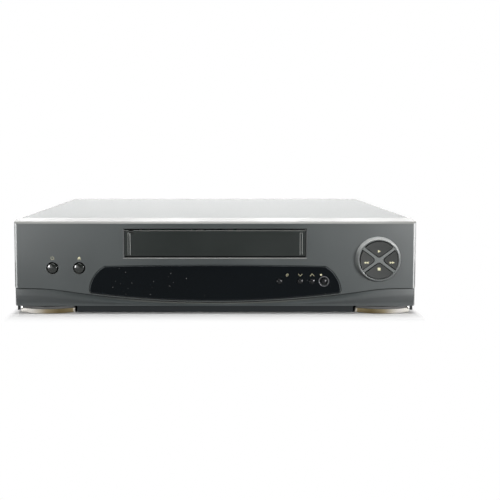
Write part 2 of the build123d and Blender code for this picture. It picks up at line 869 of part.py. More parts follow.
with BuildPart() as record_ring:
    with BuildSketch(across(front_face - record_ring_proud)):
        with Locations((record_x, small_key_height)):
            Circle(record_ring_outer)
            Circle(record_ring_inner, mode=Mode.SUBTRACT)
    extrude(amount=-(record_ring_proud + window_setback + window_thickness))
    fillet(record_ring.faces().sort_by(Axis.Y)[0].edges(), record_ring_proud)
record_ring.part.label = "record_ring"
export_step(record_ring.part, "parts/record_ring.step")


def round_key(x, z, radius, hole, front):
    """A round key in its guide tube: a domed cap, a flange behind the tube and a short stem."""
    flange_front = panel_wall_back + guide_tube_length + slip
    with BuildPart() as key:
        peg(x, z, (front, flange_front + key_flange), radius)
        fillet(key.faces().sort_by(Axis.Y)[0].edges(), key_edge_round)
        peg(x, z, (flange_front, flange_front + key_flange), hole + key_flange_reach)
        peg(x, z, (flange_front + key_flange - 0.1, switch_ends), key_stem_radius)
    return key


def sector_key(index):
    """One of the four keys of the transport cluster, with its flange behind the bezel."""
    outline = cluster_shapes(key_gap).faces().sort_by(cluster_side[index])[0]
    flange = cluster_shapes(-key_flange_reach).faces().sort_by(cluster_side[index])[0]
    center = outline.center()
    with BuildPart() as key:
        with BuildSketch(across(cluster_front)):
            add(outline)
        extrude(amount=-(panel_wall_back + slip + key_flange - cluster_front))
        # The four caps together form one shallow dish.
        with Locations((bezel_x, cluster_front + key_dish_sag - key_dish_radius, bezel_z)):
            Sphere(key_dish_radius, mode=Mode.SUBTRACT)
        with BuildSketch(across(panel_wall_back + slip)):
            add(flange)
        extrude(amount=-key_flange)
        peg(center.X, center.Y, (panel_wall_back + slip, switch_ends), key_stem_radius)
    return key


power_button = round_key(
    power_x, round_key_height, round_key_radius, round_key_hole, front_face - round_key_proud
)
power_button.part.label = "power_button"
export_step(power_button.part, "parts/power_button.step")
eject_button = round_key(
    eject_x, round_key_height, round_key_radius, round_key_hole, front_face - round_key_proud
)
eject_button.part.label = "eject_button"
export_step(eject_button.part, "parts/eject_button.step")
small_key_front = window_front - small_key_proud
timer_button = round_key(timer_x, small_key_height, small_key_radius, small_key_hole, small_key_front)
timer_button.part.label = "timer_button"
export_step(timer_button.part, "parts/timer_button.step")
channel_down_button = round_key(
    channel_down_x, small_key_height, small_key_radius, small_key_hole, small_key_front
)
channel_down_button.part.label = "channel_down_button"
export_step(channel_down_button.part, "parts/channel_down_button.step")
channel_up_button = round_key(
    channel_up_x, small_key_height, small_key_radius, small_key_hole, small_key_front
)
channel_up_button.part.label = "channel_up_button"
export_step(channel_up_button.part, "parts/channel_up_button.step")
record_button = round_key(record_x, small_key_height, small_key_radius, small_key_hole, small_key_front)
record_button.part.label = "record_button"
export_step(record_button.part, "parts/record_button.step")

play_key = sector_key("play")
play_key.part.label = "play_key"
export_step(play_key.part, "parts/play_key.step")
stop_key = sector_key("stop")
stop_key.part.label = "stop_key"
export_step(stop_key.part, "parts/stop_key.step")
rewind_key = sector_key("rewind")
rewind_key.part.label = "rewind_key"
export_step(rewind_key.part, "parts/rewind_key.step")
forward_key = sector_key("forward")
forward_key.part.label = "forward_key"
export_step(forward_key.part, "parts/forward_key.step")

with BuildPart() as transport_bezel:
    with BuildSketch(side(bezel_x)):
        with BuildLine():
            Polyline(
                (bezel_front, bezel_z + key_circle_radius),
                (bezel_front, bezel_z + bezel_top_radius),
                (front_face, bezel_z + bezel_base_radius),
                (front_face, bezel_z + bezel_spigot_radius),
                (panel_wall_back, bezel_z + bezel_spigot_radius),
                (panel_wall_back, bezel_z + key_circle_radius),
                close=True,
            )
        make_face()
    revolve(axis=Axis((bezel_x, 0, bezel_z), (0, 1, 0)))
    crown = transport_bezel.faces().sort_by(Axis.Y)[0].edges()
    fillet(crown, bezel_crown_round)
    # The ribs between the keys, with rounded inner corners.
    with BuildSketch(across(bezel_front + rib_setback)):
        with Locations((bezel_x, bezel_z)):
            Circle(key_circle_radius + 0.2)
        add(key_pockets, mode=Mode.SUBTRACT)
    extrude(amount=-(panel_wall_back - bezel_front - rib_setback))
transport_bezel.part.label = "transport_bezel"
export_step(transport_bezel.part, "parts/transport_bezel.step")

# ---- Cassette door and its spring ------------------------------------------------------------------

with BuildPart() as cassette_door:
    block(
        (-door_half_width, door_half_width),
        (door_face, door_face + door_thickness),
        (door_foot, hinge_z),
    )
    # Two upright ridges near the ends, and a stiffening rib inside along the lower edge.
    for hand in (-1, 1):
        ridge = hand * (door_half_width - door_ridge_inset)
        with BuildSketch(across(door_face + 0.1)):
            with Locations((ridge, (door_foot + hinge_z) / 2)):
                Rectangle(door_ridge_width, hinge_z - door_foot - 2.4)
        extrude(amount=door_ridge_proud + 0.1)
        front_edges = cassette_door.faces().sort_by(Axis.Y)[0].edges()
        chamfer(front_edges, door_ridge_bevel)
    block(
        (-door_half_width + 6, door_half_width - 6),
        (door_face + door_thickness - 0.1, door_face + door_thickness + 1),
        (door_foot + 1, door_foot + 2.2),
    )
    pin(hinge_y, hinge_z, (-door_half_width, door_half_width), hinge_radius)
    pin(
        hinge_y,
        hinge_z,
        (-slot_width / 2 - hinge_pin_length, slot_width / 2 + hinge_pin_length),
        hinge_pin_radius,
    )
    # A waist in the barrel makes room for the spring.
    with BuildSketch(side(spring_left)):
        with Locations((hinge_y, hinge_z)):
            Circle(hinge_radius + 0.6)
            Circle(hinge_pin_radius, mode=Mode.SUBTRACT)
        with Locations((hinge_y - 2, hinge_z - 2 * hinge_radius - 0.1)):
            Rectangle(5, 2 * hinge_radius, mode=Mode.SUBTRACT)
    extrude(amount=spring_width, mode=Mode.SUBTRACT)
cassette_door.part.label = "cassette_door"
export_step(cassette_door.part, "parts/cassette_door.step")

with BuildPart() as door_spring:
    with BuildSketch(side(spring_left + slip)):
        with Locations((hinge_y, hinge_z)):
            Circle(hinge_radius - 0.1)
            Circle(hinge_pin_radius + running_gap, mode=Mode.SUBTRACT)
    extrude(amount=spring_width - 2 * slip)
    # One leg lies along the door's back.
    block(
        (spring_left + slip, spring_left + slip + 0.6),
        (door_face + door_thickness + 0.1, door_face + door_thickness + 0.7),
        (hinge_z - spring_leg, hinge_z - hinge_pin_radius - 0.1),
    )
door_spring.part.label = "door_spring"
export_step(door_spring.part, "parts/door_spring.step")

# ---- Case: chassis, cover, rear panel and feet -----------------------------------------------------


def foot_shape(x, inset):
    """The D-shaped plan of a front foot at width x, drawn smaller by inset on every side."""
    front = front_face + foot_setback + inset
    back = front_face + foot_setback + foot_depth - inset
    half = foot_width / 2 - inset
    shoulder = front_face + foot_setback + foot_bulge + inset * 0.9
    with BuildSketch() as shape:
        with BuildLine():
            ThreePointArc((x - half, shoulder), (x, front), (x + half, shoulder))
            Polyline((x + half, shoulder), (x + half, back), (x - half, back), (x - half, shoulder))
        make_face()
        fillet(shape.vertices(), foot_corner - inset)
    return shape.sketch


with BuildPart() as bottom_chassis:
    block(
        (-chassis_half_width, chassis_half_width),
        (skirt_front + skirt_wall + slip, rear_inner - slip),
        (chassis_floor, floor_top),
    )
    for hand in (-1, 1):
        block(
            sorted((hand * chassis_half_width, hand * (chassis_half_width - chassis_thickness))),
            (panel_back + slip, rear_inner - slip),
            (chassis_floor, floor_top + chassis_wall_height),
        )
    bends = bottom_chassis.edges().filter_by(Axis.Y).group_by(Axis.Z)[0]
    fillet(bends, chassis_bend)
    # Cooling slots below the power board.
    with BuildSketch(level(chassis_floor - 1)):
        with Locations((board_middle, boards_back - 79)):
            with GridLocations(0, vent_pitch * 1.4, 1, 9):
                SlotOverall(44, vent_width)
    extrude(amount=chassis_thickness + 2, mode=Mode.SUBTRACT)
bottom_chassis.part.label = "bottom_chassis"
export_step(bottom_chassis.part, "parts/bottom_chassis.step")

with BuildPart() as chassis_pillars:
    # Riveted to the chassis's floor, with screw holes: four for the deck, the rest for the boards.
    with BuildSketch(level(floor_top)):
        with Locations(*deck_posts):
            Circle(standoff_radius + 1)
            Circle(post_bore, mode=Mode.SUBTRACT)
    extrude(amount=deck_floor - floor_top)
    with BuildSketch(level(floor_top)):
        with Locations(*main_standoffs, *power_standoffs):
            Circle(standoff_radius)
            Circle(post_bore, mode=Mode.SUBTRACT)
    extrude(amount=board_height - floor_top)
chassis_pillars.part.label = "chassis_pillars"
export_step(chassis_pillars.part, "parts/chassis_pillars.step")

with BuildPart() as top_cover:
    with BuildSketch(across(panel_back + slip)):
        with Locations((0, cover_top / 2)):
            Rectangle(2 * cover_half_width, cover_top)
        fillet(
            [corner for corner in vertices() if corner.Y > cover_top / 2],
            cover_bend,
        )
        with Locations((0, cover_top / 2 - cover_thickness)):
            Rectangle(2 * cover_inner, cover_top, mode=Mode.SUBTRACT)
        with Locations((0, cover_foot / 2)):
            Rectangle(body_width, cover_foot, mode=Mode.SUBTRACT)
    extrude(amount=-(rear_face - panel_back - slip))
    # Vents in both sides near the back.
    vent_middle = rear_face - vent_back_inset - (vent_count - 1) * vent_pitch / 2
    with BuildSketch(side(-half_width)):
        with Locations((vent_middle, vent_low + vent_length / 2)):
            with GridLocations(vent_pitch, 0, vent_count, 1):
                SlotOverall(vent_length, vent_width, rotation=90)
    extrude(amount=body_width, mode=Mode.SUBTRACT)
    # Holes of the side screws.
    for hand, screw_y in cover_screws:
        pin(
            screw_y,
            side_screw_height,
            sorted((hand * (cover_inner - 1), hand * half_width)),
            screw_radius / 2 + fit_gap,
            Mode.SUBTRACT,
        )
top_cover.part.label = "top_cover"
export_step(top_cover.part, "parts/top_cover.step")

with BuildPart() as rear_panel:
    block(
        (-cover_inner + slip, cover_inner - slip),
        (rear_inner, rear_face),
        (floor_top + 0.1, cover_top - cover_thickness - slip),
    )
    with BuildSketch(across(rear_inner - 1)):
        with Locations(*scart_places):
            Rectangle(scart_width + 2 * fit_gap, scart_tall + 2 * fit_gap)
        with Locations(*phono_places):
            Circle(phono_flange_radius + fit_gap)
        with Locations(*aerial_places):
            Circle(aerial_shoulder_radius + fit_gap)
        with Locations((inlet_x, inlet_height)):
            Rectangle(inlet_width + 2 * fit_gap, inlet_tall + 2 * fit_gap)
        # Cooling slots near the power board.
        with Locations((board_middle, inlet_height + 40)):
            with GridLocations(vent_pitch, 0, 11, 1):
                SlotOverall(30, vent_width, rotation=90)
    extrude(amount=-rear_panel_thickness - 2, mode=Mode.SUBTRACT)
    # A folded lip along the foot sits on the chassis floor.
    block(
        (-board_inner, board_inner),
        (rear_inner - 9, rear_inner + 0.2),
        (floor_top + 0.1, floor_top + 0.1 + rear_panel_thickness),
    )
rear_panel.part.label = "rear_panel"
export_step(rear_panel.part, "parts/rear_panel.step")

with BuildPart() as front_feet:
    for hand in (-1, 1):
        with BuildSketch(level(0)):
            add(foot_shape(hand * foot_x, foot_trim_thickness + fit_gap))
        extrude(amount=chassis_floor)
        # The sole and the crown are as wide as the trim.
        with BuildSketch(level(foot_sole_low)):
            add(foot_shape(hand * foot_x, foot_trim_thickness / 2))
        extrude(amount=foot_trim_low - foot_sole_low - fit_gap)
front_feet.part.label = "front_feet"
export_step(front_feet.part, "parts/front_feet.step")

with BuildPart() as foot_trims:
    for hand in (-1, 1):
        with BuildSketch(level(foot_trim_low)):
            add(foot_shape(hand * foot_x, 0))
            add(foot_shape(hand * foot_x, foot_trim_thickness), mode=Mode.SUBTRACT)
        extrude(amount=foot_trim_high - foot_trim_low)
foot_trims.part.label = "foot_trims"
export_step(foot_trims.part, "parts/foot_trims.step")

with BuildPart() as rear_feet:
    with BuildSketch(level(0)):
        with Locations((-rear_foot_x, rear_foot_y), (rear_foot_x, rear_foot_y)):
            Circle(rear_foot_radius - 1.5)
    extrude(amount=chassis_floor)
    with BuildSketch(level(1.2)):
        with Locations((-rear_foot_x, rear_foot_y), (rear_foot_x, rear_foot_y)):
            Circle(rear_foot_radius)
    extrude(amount=chassis_floor - 1.2)
rear_feet.part.label = "rear_feet"
export_step(rear_feet.part, "parts/rear_feet.step")

with BuildPart() as casing_screws:
    for hand, screw_y in cover_screws:
        pin(
            screw_y,
            side_screw_height,
            sorted((hand * cover_half_width, hand * (cover_half_width + screw_head))),
            screw_radius,
        )
        pin(
            screw_y,
            side_screw_height,
            sorted((hand * chassis_half_width, hand * (cover_half_width + 0.2))),
            screw_radius / 2,
        )
    for screw_x, screw_z in rear_screws:
        peg(screw_x, screw_z, (rear_face, rear_face + screw_head + 0.6), screw_radius)
casing_screws.part.label = "casing_screws"
export_step(casing_screws.part, "parts/casing_screws.step")

# ---- Front board and what it carries ---------------------------------------------------------------

with BuildPart() as front_board:
    with BuildSketch(across(board_front)):
        for left, right, low, high in front_board_fields:
            with Locations(((left + right) / 2, (low + high) / 2)):
                Rectangle(right - left, high - low)
        with Locations(*board_posts):
            Circle(post_bore, mode=Mode.SUBTRACT)
    extrude(amount=-board_thickness)
front_board.part.label = "front_board"
export_step(front_board.part, "parts/front_board.step")

with BuildPart() as tact_switches:
    for switch_x, switch_z in switch_places:
        with BuildSketch(across(switch_front + switch_plunger)):
            with Locations((switch_x, switch_z)):
                Rectangle(switch_size, switch_size)
        extrude(amount=-(switch_height - switch_plunger))
        peg(switch_x, switch_z, (switch_front, switch_front + switch_plunger + 0.1), key_stem_radius)
tact_switches.part.label = "tact_switches"
export_step(tact_switches.part, "parts/tact_switches.step")

with BuildPart() as display_tube:
    block(
        (display_left, display_right),
        (board_front - display_depth, board_front - 2),
        (display_low, display_high),
    )
    fillet(display_tube.edges().filter_by(Axis.Y), 1.5)
    block(
        (display_left + 4, display_right - 4),
        (board_front - 2.1, board_front),
        (display_low + 2, display_high - 2),
    )
display_tube.part.label = "display_tube"
export_step(display_tube.part, "parts/display_tube.step")

with BuildPart() as remote_sensor:
    block((sensor_x - 4, sensor_x + 4), (board_front - 5, board_front), (sensor_z - 4, sensor_z + 4))
    peg(sensor_x, sensor_z, (board_front - 7.5, board_front - 4.9), 2.6)
remote_sensor.part.label = "remote_sensor"
export_step(remote_sensor.part, "parts/remote_sensor.step")

# ---- Sockets at the back ---------------------------------------------------------------------------

with BuildPart() as jack_board:
    block(
        (scart_x - scart_width / 2 - 8, phono_x + phono_spacing + 14),
        (jack_board_front, jack_board_back),
        (scart_height - scart_tall, scart_height + scart_tall),
    )
jack_board.part.label = "jack_board"
export_step(jack_board.part, "parts/jack_board.step")

with BuildPart() as scart_sockets:
    for socket_x, socket_z in scart_places:
        block(
            (socket_x - scart_width / 2 - 2, socket_x + scart_width / 2 + 2),
            (jack_board_back, rear_inner),
            (socket_z - scart_tall / 2 - 2, socket_z + scart_tall / 2 + 2),
        )
        block(
            (socket_x - scart_width / 2, socket_x + scart_width / 2),
            (rear_inner - 0.2, rear_face + scart_lip),
            (socket_z - scart_tall / 2, socket_z + scart_tall / 2),
        )
        # The plug's recess, with one slanted end.
        with BuildSketch(across(rear_face + scart_lip - scart_recess)):
            with BuildLine():
                Polyline(
                    (socket_x - scart_width / 2 + 1.5, socket_z - scart_tall / 2 + 1.5),
                    (socket_x + scart_width / 2 - 5.0, socket_z - scart_tall / 2 + 1.5),
                    (socket_x + scart_width / 2 - 1.5, socket_z - scart_tall / 2 + 5.0),
                    (socket_x + scart_width / 2 - 1.5, socket_z + scart_tall / 2 - 1.5),
                    (socket_x - scart_width / 2 + 1.5, socket_z + scart_tall / 2 - 1.5),
                    close=True,
                )
            make_face()
        extrude(amount=-scart_recess - 1, mode=Mode.SUBTRACT)
scart_sockets.part.label = "scart_sockets"
export_step(scart_sockets.part, "parts/scart_sockets.step")

with BuildPart() as audio_sockets:
    for socket_x, socket_z in phono_places:
        peg(socket_x, socket_z, (jack_board_back, rear_face + phono_flange), phono_flange_radius)
        peg(socket_x, socket_z, (rear_face, rear_face + phono_length), phono_radius)
        peg(socket_x, socket_z, (rear_face - 6, rear_face + phono_length + 1), 1.7, Mode.SUBTRACT)
audio_sockets.part.label = "audio_sockets"
export_step(audio_sockets.part, "parts/audio_sockets.step")

with BuildPart() as tuner:
    block(
        (aerial_x - aerial_spacing / 2 - 14, aerial_x + aerial_spacing / 2 + 14),
        (rear_inner - 30, rear_inner),
        (board_top, aerial_height + 14),
    )
    fillet(tuner.edges().filter_by(Axis.Y), 1.0)
tuner.part.label = "tuner"
export_step(tuner.part, "parts/tuner.step")

with BuildPart() as aerial_sockets:
    for socket_x, socket_z in aerial_places:
        peg(socket_x, socket_z, (rear_inner, rear_face + aerial_shoulder), aerial_shoulder_radius)
        peg(socket_x, socket_z, (rear_face, rear_face + aerial_length), aerial_radius)
        peg(
            socket_x,
            socket_z,
            (rear_face + 1, rear_face + aerial_length + 1),
            aerial_radius - 1.0,
            Mode.SUBTRACT,
        )
        peg(socket_x, socket_z, (rear_face, rear_face + aerial_length - 2), 1.2)
aerial_sockets.part.label = "aerial_sockets"
export_step(aerial_sockets.part, "parts/aerial_sockets.step")

with BuildPart() as mains_inlet:
    block(
        (inlet_x - inlet_width / 2, inlet_x + inlet_width / 2),
        (rear_inner - inlet_depth - 2, rear_face + 1.5),
        (inlet_height - inlet_tall / 2, inlet_height + inlet_tall / 2),
    )
    block(
        (inlet_x - inlet_width / 2 - 1.5, inlet_x + inlet_width / 2 + 1.5),
        (rear_inner - 3, rear_inner),
        (inlet_height - inlet_tall / 2 - 1.5, inlet_height + inlet_tall / 2 + 1.5),
    )
    # Legs down to the power board.
    block(
        (inlet_x - 5, inlet_x + 5),
        (rear_inner - inlet_depth - 2, rear_inner - inlet_depth + 6),
        (board_top, inlet_height),
    )
    with BuildSketch(across(rear_face + 1.5 - inlet_depth)):
        with Locations((inlet_x, inlet_height)):
            SlotOverall(inlet_width - 3.4, inlet_tall - 2.6)
    extrude(amount=-inlet_depth - 1, mode=Mode.SUBTRACT)
    for hand in (-1, 1):
        peg(
            inlet_x + hand * inlet_pin_spacing / 2,
            inlet_height,
            (rear_face + 1.4 - inlet_depth, rear_face - 2),
            1.2,
        )
mains_inlet.part.label = "mains_inlet"
export_step(mains_inlet.part, "parts/mains_inlet.step")

# ---- Main board, power supply ----------------------------------------------------------------------

with BuildPart() as main_board:
    block(
        (-board_outer, -board_inner),
        (main_board_front, boards_back),
        (board_height, board_top),
    )
    # Processors and other packages.
    for chip_x, chip_y, chip_width, chip_length in board_chips:
        block(
            (chip_x - chip_width / 2, chip_x + chip_width / 2),
            (chip_y - chip_length / 2, chip_y + chip_length / 2),
            (board_top - 0.1, board_top + 3),
        )
main_board.part.label = "main_board"
export_step(main_board.part, "parts/main_board.step")

with BuildPart() as power_board:
    block(
        (board_inner, board_outer),
        (power_board_front, boards_back),
        (board_height, board_top),
    )
    # Fuse holder and mains filter.
    fuse_y = (boards_back - 46, boards_back - 30)
    filter_y = (boards_back - 54, boards_back - 32)
    block((inlet_x - 12, inlet_x + 12), fuse_y, (board_top - 0.1, board_top + 14))
    block((inlet_x + 18, inlet_x + 26), filter_y, (board_top - 0.1, board_top + 9))
power_board.part.label = "power_board"
export_step(power_board.part, "parts/power_board.step")

with BuildPart() as transformer:
    block(transformer_x, transformer_y, (board_top, board_top + transformer_height))
    fillet(transformer.edges().filter_by(Axis.Z), 1.5)
    middle_x = sum(transformer_x) / 2
    middle_y = sum(transformer_y) / 2
    # The winding bulges out of both open sides of the core.
    with BuildSketch(level(board_top + 4)):
        with Locations((middle_x, middle_y)):
            RectangleRounded(24, transformer_y[1] - transformer_y[0] + 16, 6)
    extrude(amount=transformer_height - 8)
transformer.part.label = "transformer"
export_step(transformer.part, "parts/transformer.step")

with BuildPart() as heat_sink:
    block(
        (board_outer - 4, board_outer - 1),
        (power_board_front + 12, power_board_front + 82),
        (board_top, board_top + 44),
    )
    with Locations((board_outer - 10, power_board_front + 47, board_top + 22)):
        with GridLocations(0, 8, 1, 9):
            Box(13, 1.6, 44)
heat_sink.part.label = "heat_sink"
export_step(heat_sink.part, "parts/heat_sink.step")

with BuildPart() as capacitors:
    for can_x, can_y, can_radius, can_height in capacitor_places:
        with BuildSketch(level(board_top)):
            with Locations((can_x, can_y)):
                Circle(can_radius)
        extrude(amount=can_height)
capacitors.part.label = "capacitors"
export_step(capacitors.part, "parts/capacitors.step")

# ---- Tape deck: plate, lift and cassette holder ----------------------------------------------------

with BuildPart() as deck_plate:
    block((-deck_half_width, deck_half_width), (deck_front, deck_back), (deck_floor, deck_top))
    fillet(deck_plate.edges().filter_by(Axis.Z), 5)
    # Straight slots for the two tape guides, and the holes of the turning shafts.
    for hand in (-1, 1):
        with BuildSketch(level(deck_floor - 1)):
            with Locations((hand * guide_middle_x, guide_middle_y)):
                SlotCenterToCenter(
                    guide_travel + 1, guide_slot_width, rotation=hand * (90 - guide_lean)
                )
        extrude(amount=deck_thickness + 2, mode=Mode.SUBTRACT)
    disc(0, clutch_y, (deck_floor - 1, deck_top + 1), clutch_shaft_radius + 0.5, Mode.SUBTRACT)
    # The capstan's bearing housing.
    disc(capstan_x, capstan_y, (deck_floor, deck_top + 2), bearing_radius + 3)
    disc(capstan_x, capstan_y, (deck_floor, capstan_bearing_top), bearing_radius)
    disc(
        capstan_x,
        capstan_y,
        (deck_floor - 1, capstan_bearing_top + 1),
        capstan_radius + running_gap,
        Mode.SUBTRACT,
    )
    # Fixed posts of the reels, the pinch arm and the loading cam.
    for hand in (-1, 1):
        disc(hand * reel_spacing / 2, reel_y, (deck_floor, reel_post_top), reel_shaft_radius)
    disc(pinch_pivot_x, pinch_pivot_y, (deck_floor, pinch_post_top), arm_post_radius)
    disc(cam_x, cam_y, (deck_floor, cam_top), arm_post_radius)
    # Lamp post of the tape-end sensors, and two fixed tape posts.
    disc(0, lamp_y, (deck_floor, guide_top - 2), 3.0)
    for post_x, post_y in tape_posts:
        disc(post_x, post_y, (deck_floor, guide_top), 2.0)
        disc(post_x, post_y, (guide_top - 1.2, guide_top), 4.0)
deck_plate.part.label = "deck_plate"
export_step(deck_plate.part, "parts/deck_plate.step")

with BuildPart() as deck_screws:
    for screw_x, screw_y in deck_posts:
        disc(screw_x, screw_y, (deck_top, deck_top + 2), screw_radius)
deck_screws.part.label = "deck_screws"
export_step(deck_screws.part, "parts/deck_screws.step")

with BuildPart() as lift_frames:
    for hand in (-1, 1):
        inner = hand * frame_inner
        outer = hand * (frame_inner + sheet)
        block(sorted((inner, outer)), (deck_front + 2, frame_back), (deck_top, frame_top))
        # Feet folded outwards.
        block(
            sorted((inner, hand * (deck_half_width - 1))),
            (frame_foot_front, frame_foot_back),
            (deck_top, deck_top + sheet),
        )
        # A relief above the feet and the L-shaped tracks of the holder's pins.
        with BuildSketch(side(min(inner, outer) - 1)):
            with Locations(((deck_front + frame_back) / 2, deck_top + 12)):
                RectangleRounded(frame_back - deck_front - 40, 12, 4)
            for pin_y in holder_pins:
                track_end = pin_y + holder_travel_in
                with Locations(((holder_pins[0] + track_end) / 2, pin_height)):
                    SlotCenterToCenter(track_end - holder_pins[0], 2 * track_radius)
                with Locations((track_end, pin_height - holder_travel_down / 2)):
                    SlotCenterToCenter(holder_travel_down, 2 * track_radius, rotation=90)
        extrude(amount=sheet + 2, mode=Mode.SUBTRACT)
lift_frames.part.label = "lift_frames"
export_step(lift_frames.part, "parts/lift_frames.step")

with BuildPart() as lift_slider:
    # The bridge rests on the frames' top edges, and its cheeks carry the holder's pins.
    with BuildSketch(level(frame_top + slip)):
        with Locations((0, (slider_front + slider_back) / 2)):
            Rectangle(2 * (frame_inner + sheet + 1), slider_back - slider_front)
            with GridLocations(62, 0, 3, 1):
                RectangleRounded(48, slider_back - slider_front - 14, 4, mode=Mode.SUBTRACT)
    extrude(amount=sheet)
    for hand in (-1, 1):
        cheek = sorted((hand * cheek_inner, hand * (cheek_inner + sheet)))
        block(cheek, (slider_front, slider_back), (cheek_foot, frame_top + slip + 0.1))
        with BuildSketch(side(cheek[0] - 1)):
            for pin_y in holder_pins:
                with Locations((pin_y, pin_height - holder_travel_down / 2)):
                    SlotCenterToCenter(holder_travel_down + 0.4, 2 * track_radius, rotation=90)
        extrude(amount=sheet + 2, mode=Mode.SUBTRACT)
lift_slider.part.label = "lift_slider"
export_step(lift_slider.part, "parts/lift_slider.step")

with BuildPart() as cassette_holder:
    for hand in (-1, 1):
        # A ledge, a wall and a lip form each side channel.
        block(
            sorted((hand * (holder_inner - holder_ledge), hand * (holder_inner + sheet))),
            (holder_front, holder_back),
            (holder_floor - sheet, holder_floor),
        )
        block(
            sorted((hand * holder_inner, hand * (holder_inner + sheet))),
            (holder_front, holder_back),
            (holder_floor - sheet, holder_head + sheet),
        )
        block(
            sorted((hand * (holder_inner - holder_ledge), hand * holder_inner)),
            (holder_back - sheet, holder_back),
            (holder_floor - 0.1, holder_floor + 7),
        )
        for pin_y in holder_pins:
            pin(
                pin_y,
                pin_height,
                sorted((hand * holder_inner, hand * (cheek_inner + sheet))),
                guide_pin_radius,
            )
    with BuildSketch(level(holder_head)):
        with Locations((0, (holder_front + holder_back) / 2)):
            Rectangle(2 * (holder_inner + sheet), holder_length)
            with GridLocations(70, 0, 2, 1):
                RectangleRounded(54, holder_length - 22, 5, mode=Mode.SUBTRACT)
    extrude(amount=sheet)
cassette_holder.part.label = "cassette_holder"
export_step(cassette_holder.part, "parts/cassette_holder.step")

# ---- Reels, drum, capstan and arms -----------------------------------------------------------------


def reel_table(x):
    """A reel table: rim, seat and toothed spindle, bored from below for its post."""
    with BuildPart() as reel:
        with BuildSketch(Plane.XZ.offset(-reel_y)):
            with BuildLine():
                Polyline(
                    (x, reel_low + reel_rim_height),
                    (x + reel_rim_radius - 4, reel_low + reel_rim_height),
                    (x + reel_rim_radius - 3, reel_low + reel_rim_height + 0.6),
                    (x + reel_rim_radius, reel_low + reel_rim_height + 0.6),
                    (x + reel_rim_radius, reel_low),
                    (x, reel_low),
                    close=True,
                )
            make_face()
        revolve(axis=Axis((x, reel_y, 0), (0, 0, 1)))
        disc(x, reel_y, (reel_low, reel_seat - 0.6), reel_seat_radius - 2)
        disc(x, reel_y, (reel_seat - 2, reel_seat), reel_seat_radius)
        disc(x, reel_y, (reel_low, reel_seat + reel_hub_height), reel_hub_radius)
        chamfer(reel.faces().sort_by(Axis.Z)[-1].edges(), 1.4)
        with Locations((x, reel_y, reel_seat + reel_hub_height * 0.4)):
            with PolarLocations(reel_hub_radius, 3):
                Box(2.6, 1.4, reel_hub_height * 0.7)
        disc(x, reel_y, (reel_low - 1, reel_post_top + 0.4), reel_shaft_radius + running_gap, Mode.SUBTRACT)
    return reel


supply_reel = reel_table(-reel_spacing / 2)
supply_reel.part.label = "supply_reel"
export_step(supply_reel.part, "parts/supply_reel.step")
takeup_reel = reel_table(reel_spacing / 2)
takeup_reel.part.label = "takeup_reel"
export_step(takeup_reel.part, "parts/takeup_reel.step")

# The drum stands on a leaning plane; local Z is its axis.
drum_plane = Plane(Location((0, drum_y, drum_foot), (drum_tilt, 0, 0)))

with BuildPart() as drum_base:
    with BuildSketch(drum_plane):
        Circle(drum_radius)
    extrude(amount=drum_lower_height)
    # A stepped ledge guides the tape's lower edge.
    with BuildSketch(drum_plane):
        Circle(drum_radius + 0.8)
    extrude(amount=3)
    with BuildSketch(drum_plane.offset(-1)):
        Circle(drum_shaft_radius + running_gap)
    extrude(amount=drum_lower_height + 2, mode=Mode.SUBTRACT)
    with BuildSketch(drum_plane.offset(drum_lower_height - 4)):
        Circle(drum_radius - 6)
        Circle(8, mode=Mode.SUBTRACT)
    extrude(amount=5, mode=Mode.SUBTRACT)
    # The cast foot, with three screw ears.
    with BuildSketch(level(deck_top)):
        with Locations((0, drum_y)):
            Circle(drum_radius - 5)
            Circle(drum_radius - 12, mode=Mode.SUBTRACT)
            with PolarLocations(drum_radius - 3, 3, 30):
                Circle(5)
    extrude(amount=2.5)
    with BuildSketch(level(deck_top)):
        with Locations((0, drum_y)):
            Circle(drum_radius - 5)
            Circle(drum_radius - 12, mode=Mode.SUBTRACT)
    extrude(amount=drum_foot - deck_top + 4)
drum_base.part.label = "drum_base"
export_step(drum_base.part, "parts/drum_base.step")

with BuildPart() as head_drum:
    with BuildSketch(drum_plane.offset(drum_lower_height + drum_slit)):
        Circle(drum_radius)
    extrude(amount=drum_upper_height)
    with BuildSketch(drum_plane.offset(drum_lower_height + drum_slit + drum_upper_height - 2.5)):
        Circle(drum_radius - 7)
        Circle(11, mode=Mode.SUBTRACT)
    extrude(amount=4, mode=Mode.SUBTRACT)
    with BuildSketch(drum_plane.offset(2)):
        Circle(drum_shaft_radius)
    extrude(amount=drum_lower_height + drum_slit + drum_upper_height)
    # Windows of the two video heads at the lower edge.
    with BuildSketch(drum_plane.offset(drum_lower_height + drum_slit - 0.1)):
        with Locations((-drum_radius, 0), (drum_radius, 0)):
            Rectangle(5, 6)
    extrude(amount=2.2, mode=Mode.SUBTRACT)
head_drum.part.label = "head_drum"
export_step(head_drum.part, "parts/head_drum.step")

with BuildPart() as capstan_flywheel:
    disc(capstan_x, capstan_y, (pulley_low, capstan_top), capstan_radius)
    disc(capstan_x, capstan_y, (flywheel_low, flywheel_low + flywheel_thickness), flywheel_radius)
    disc(capstan_x, capstan_y, (pulley_low, flywheel_low + 0.1), capstan_pulley_radius)
capstan_flywheel.part.label = "capstan_flywheel"
export_step(capstan_flywheel.part, "parts/capstan_flywheel.step")

with BuildPart() as clutch:
    disc(0, clutch_y, (pulley_low, pulley_low + pulley_height), clutch_pulley_radius)
    disc(0, clutch_y, (pulley_low, arm_post_top), clutch_shaft_radius)
    disc(0, clutch_y, (wheel_low, wheel_low + wheel_thickness), clutch_wheel_radius)
clutch.part.label = "clutch"
export_step(clutch.part, "parts/clutch.step")

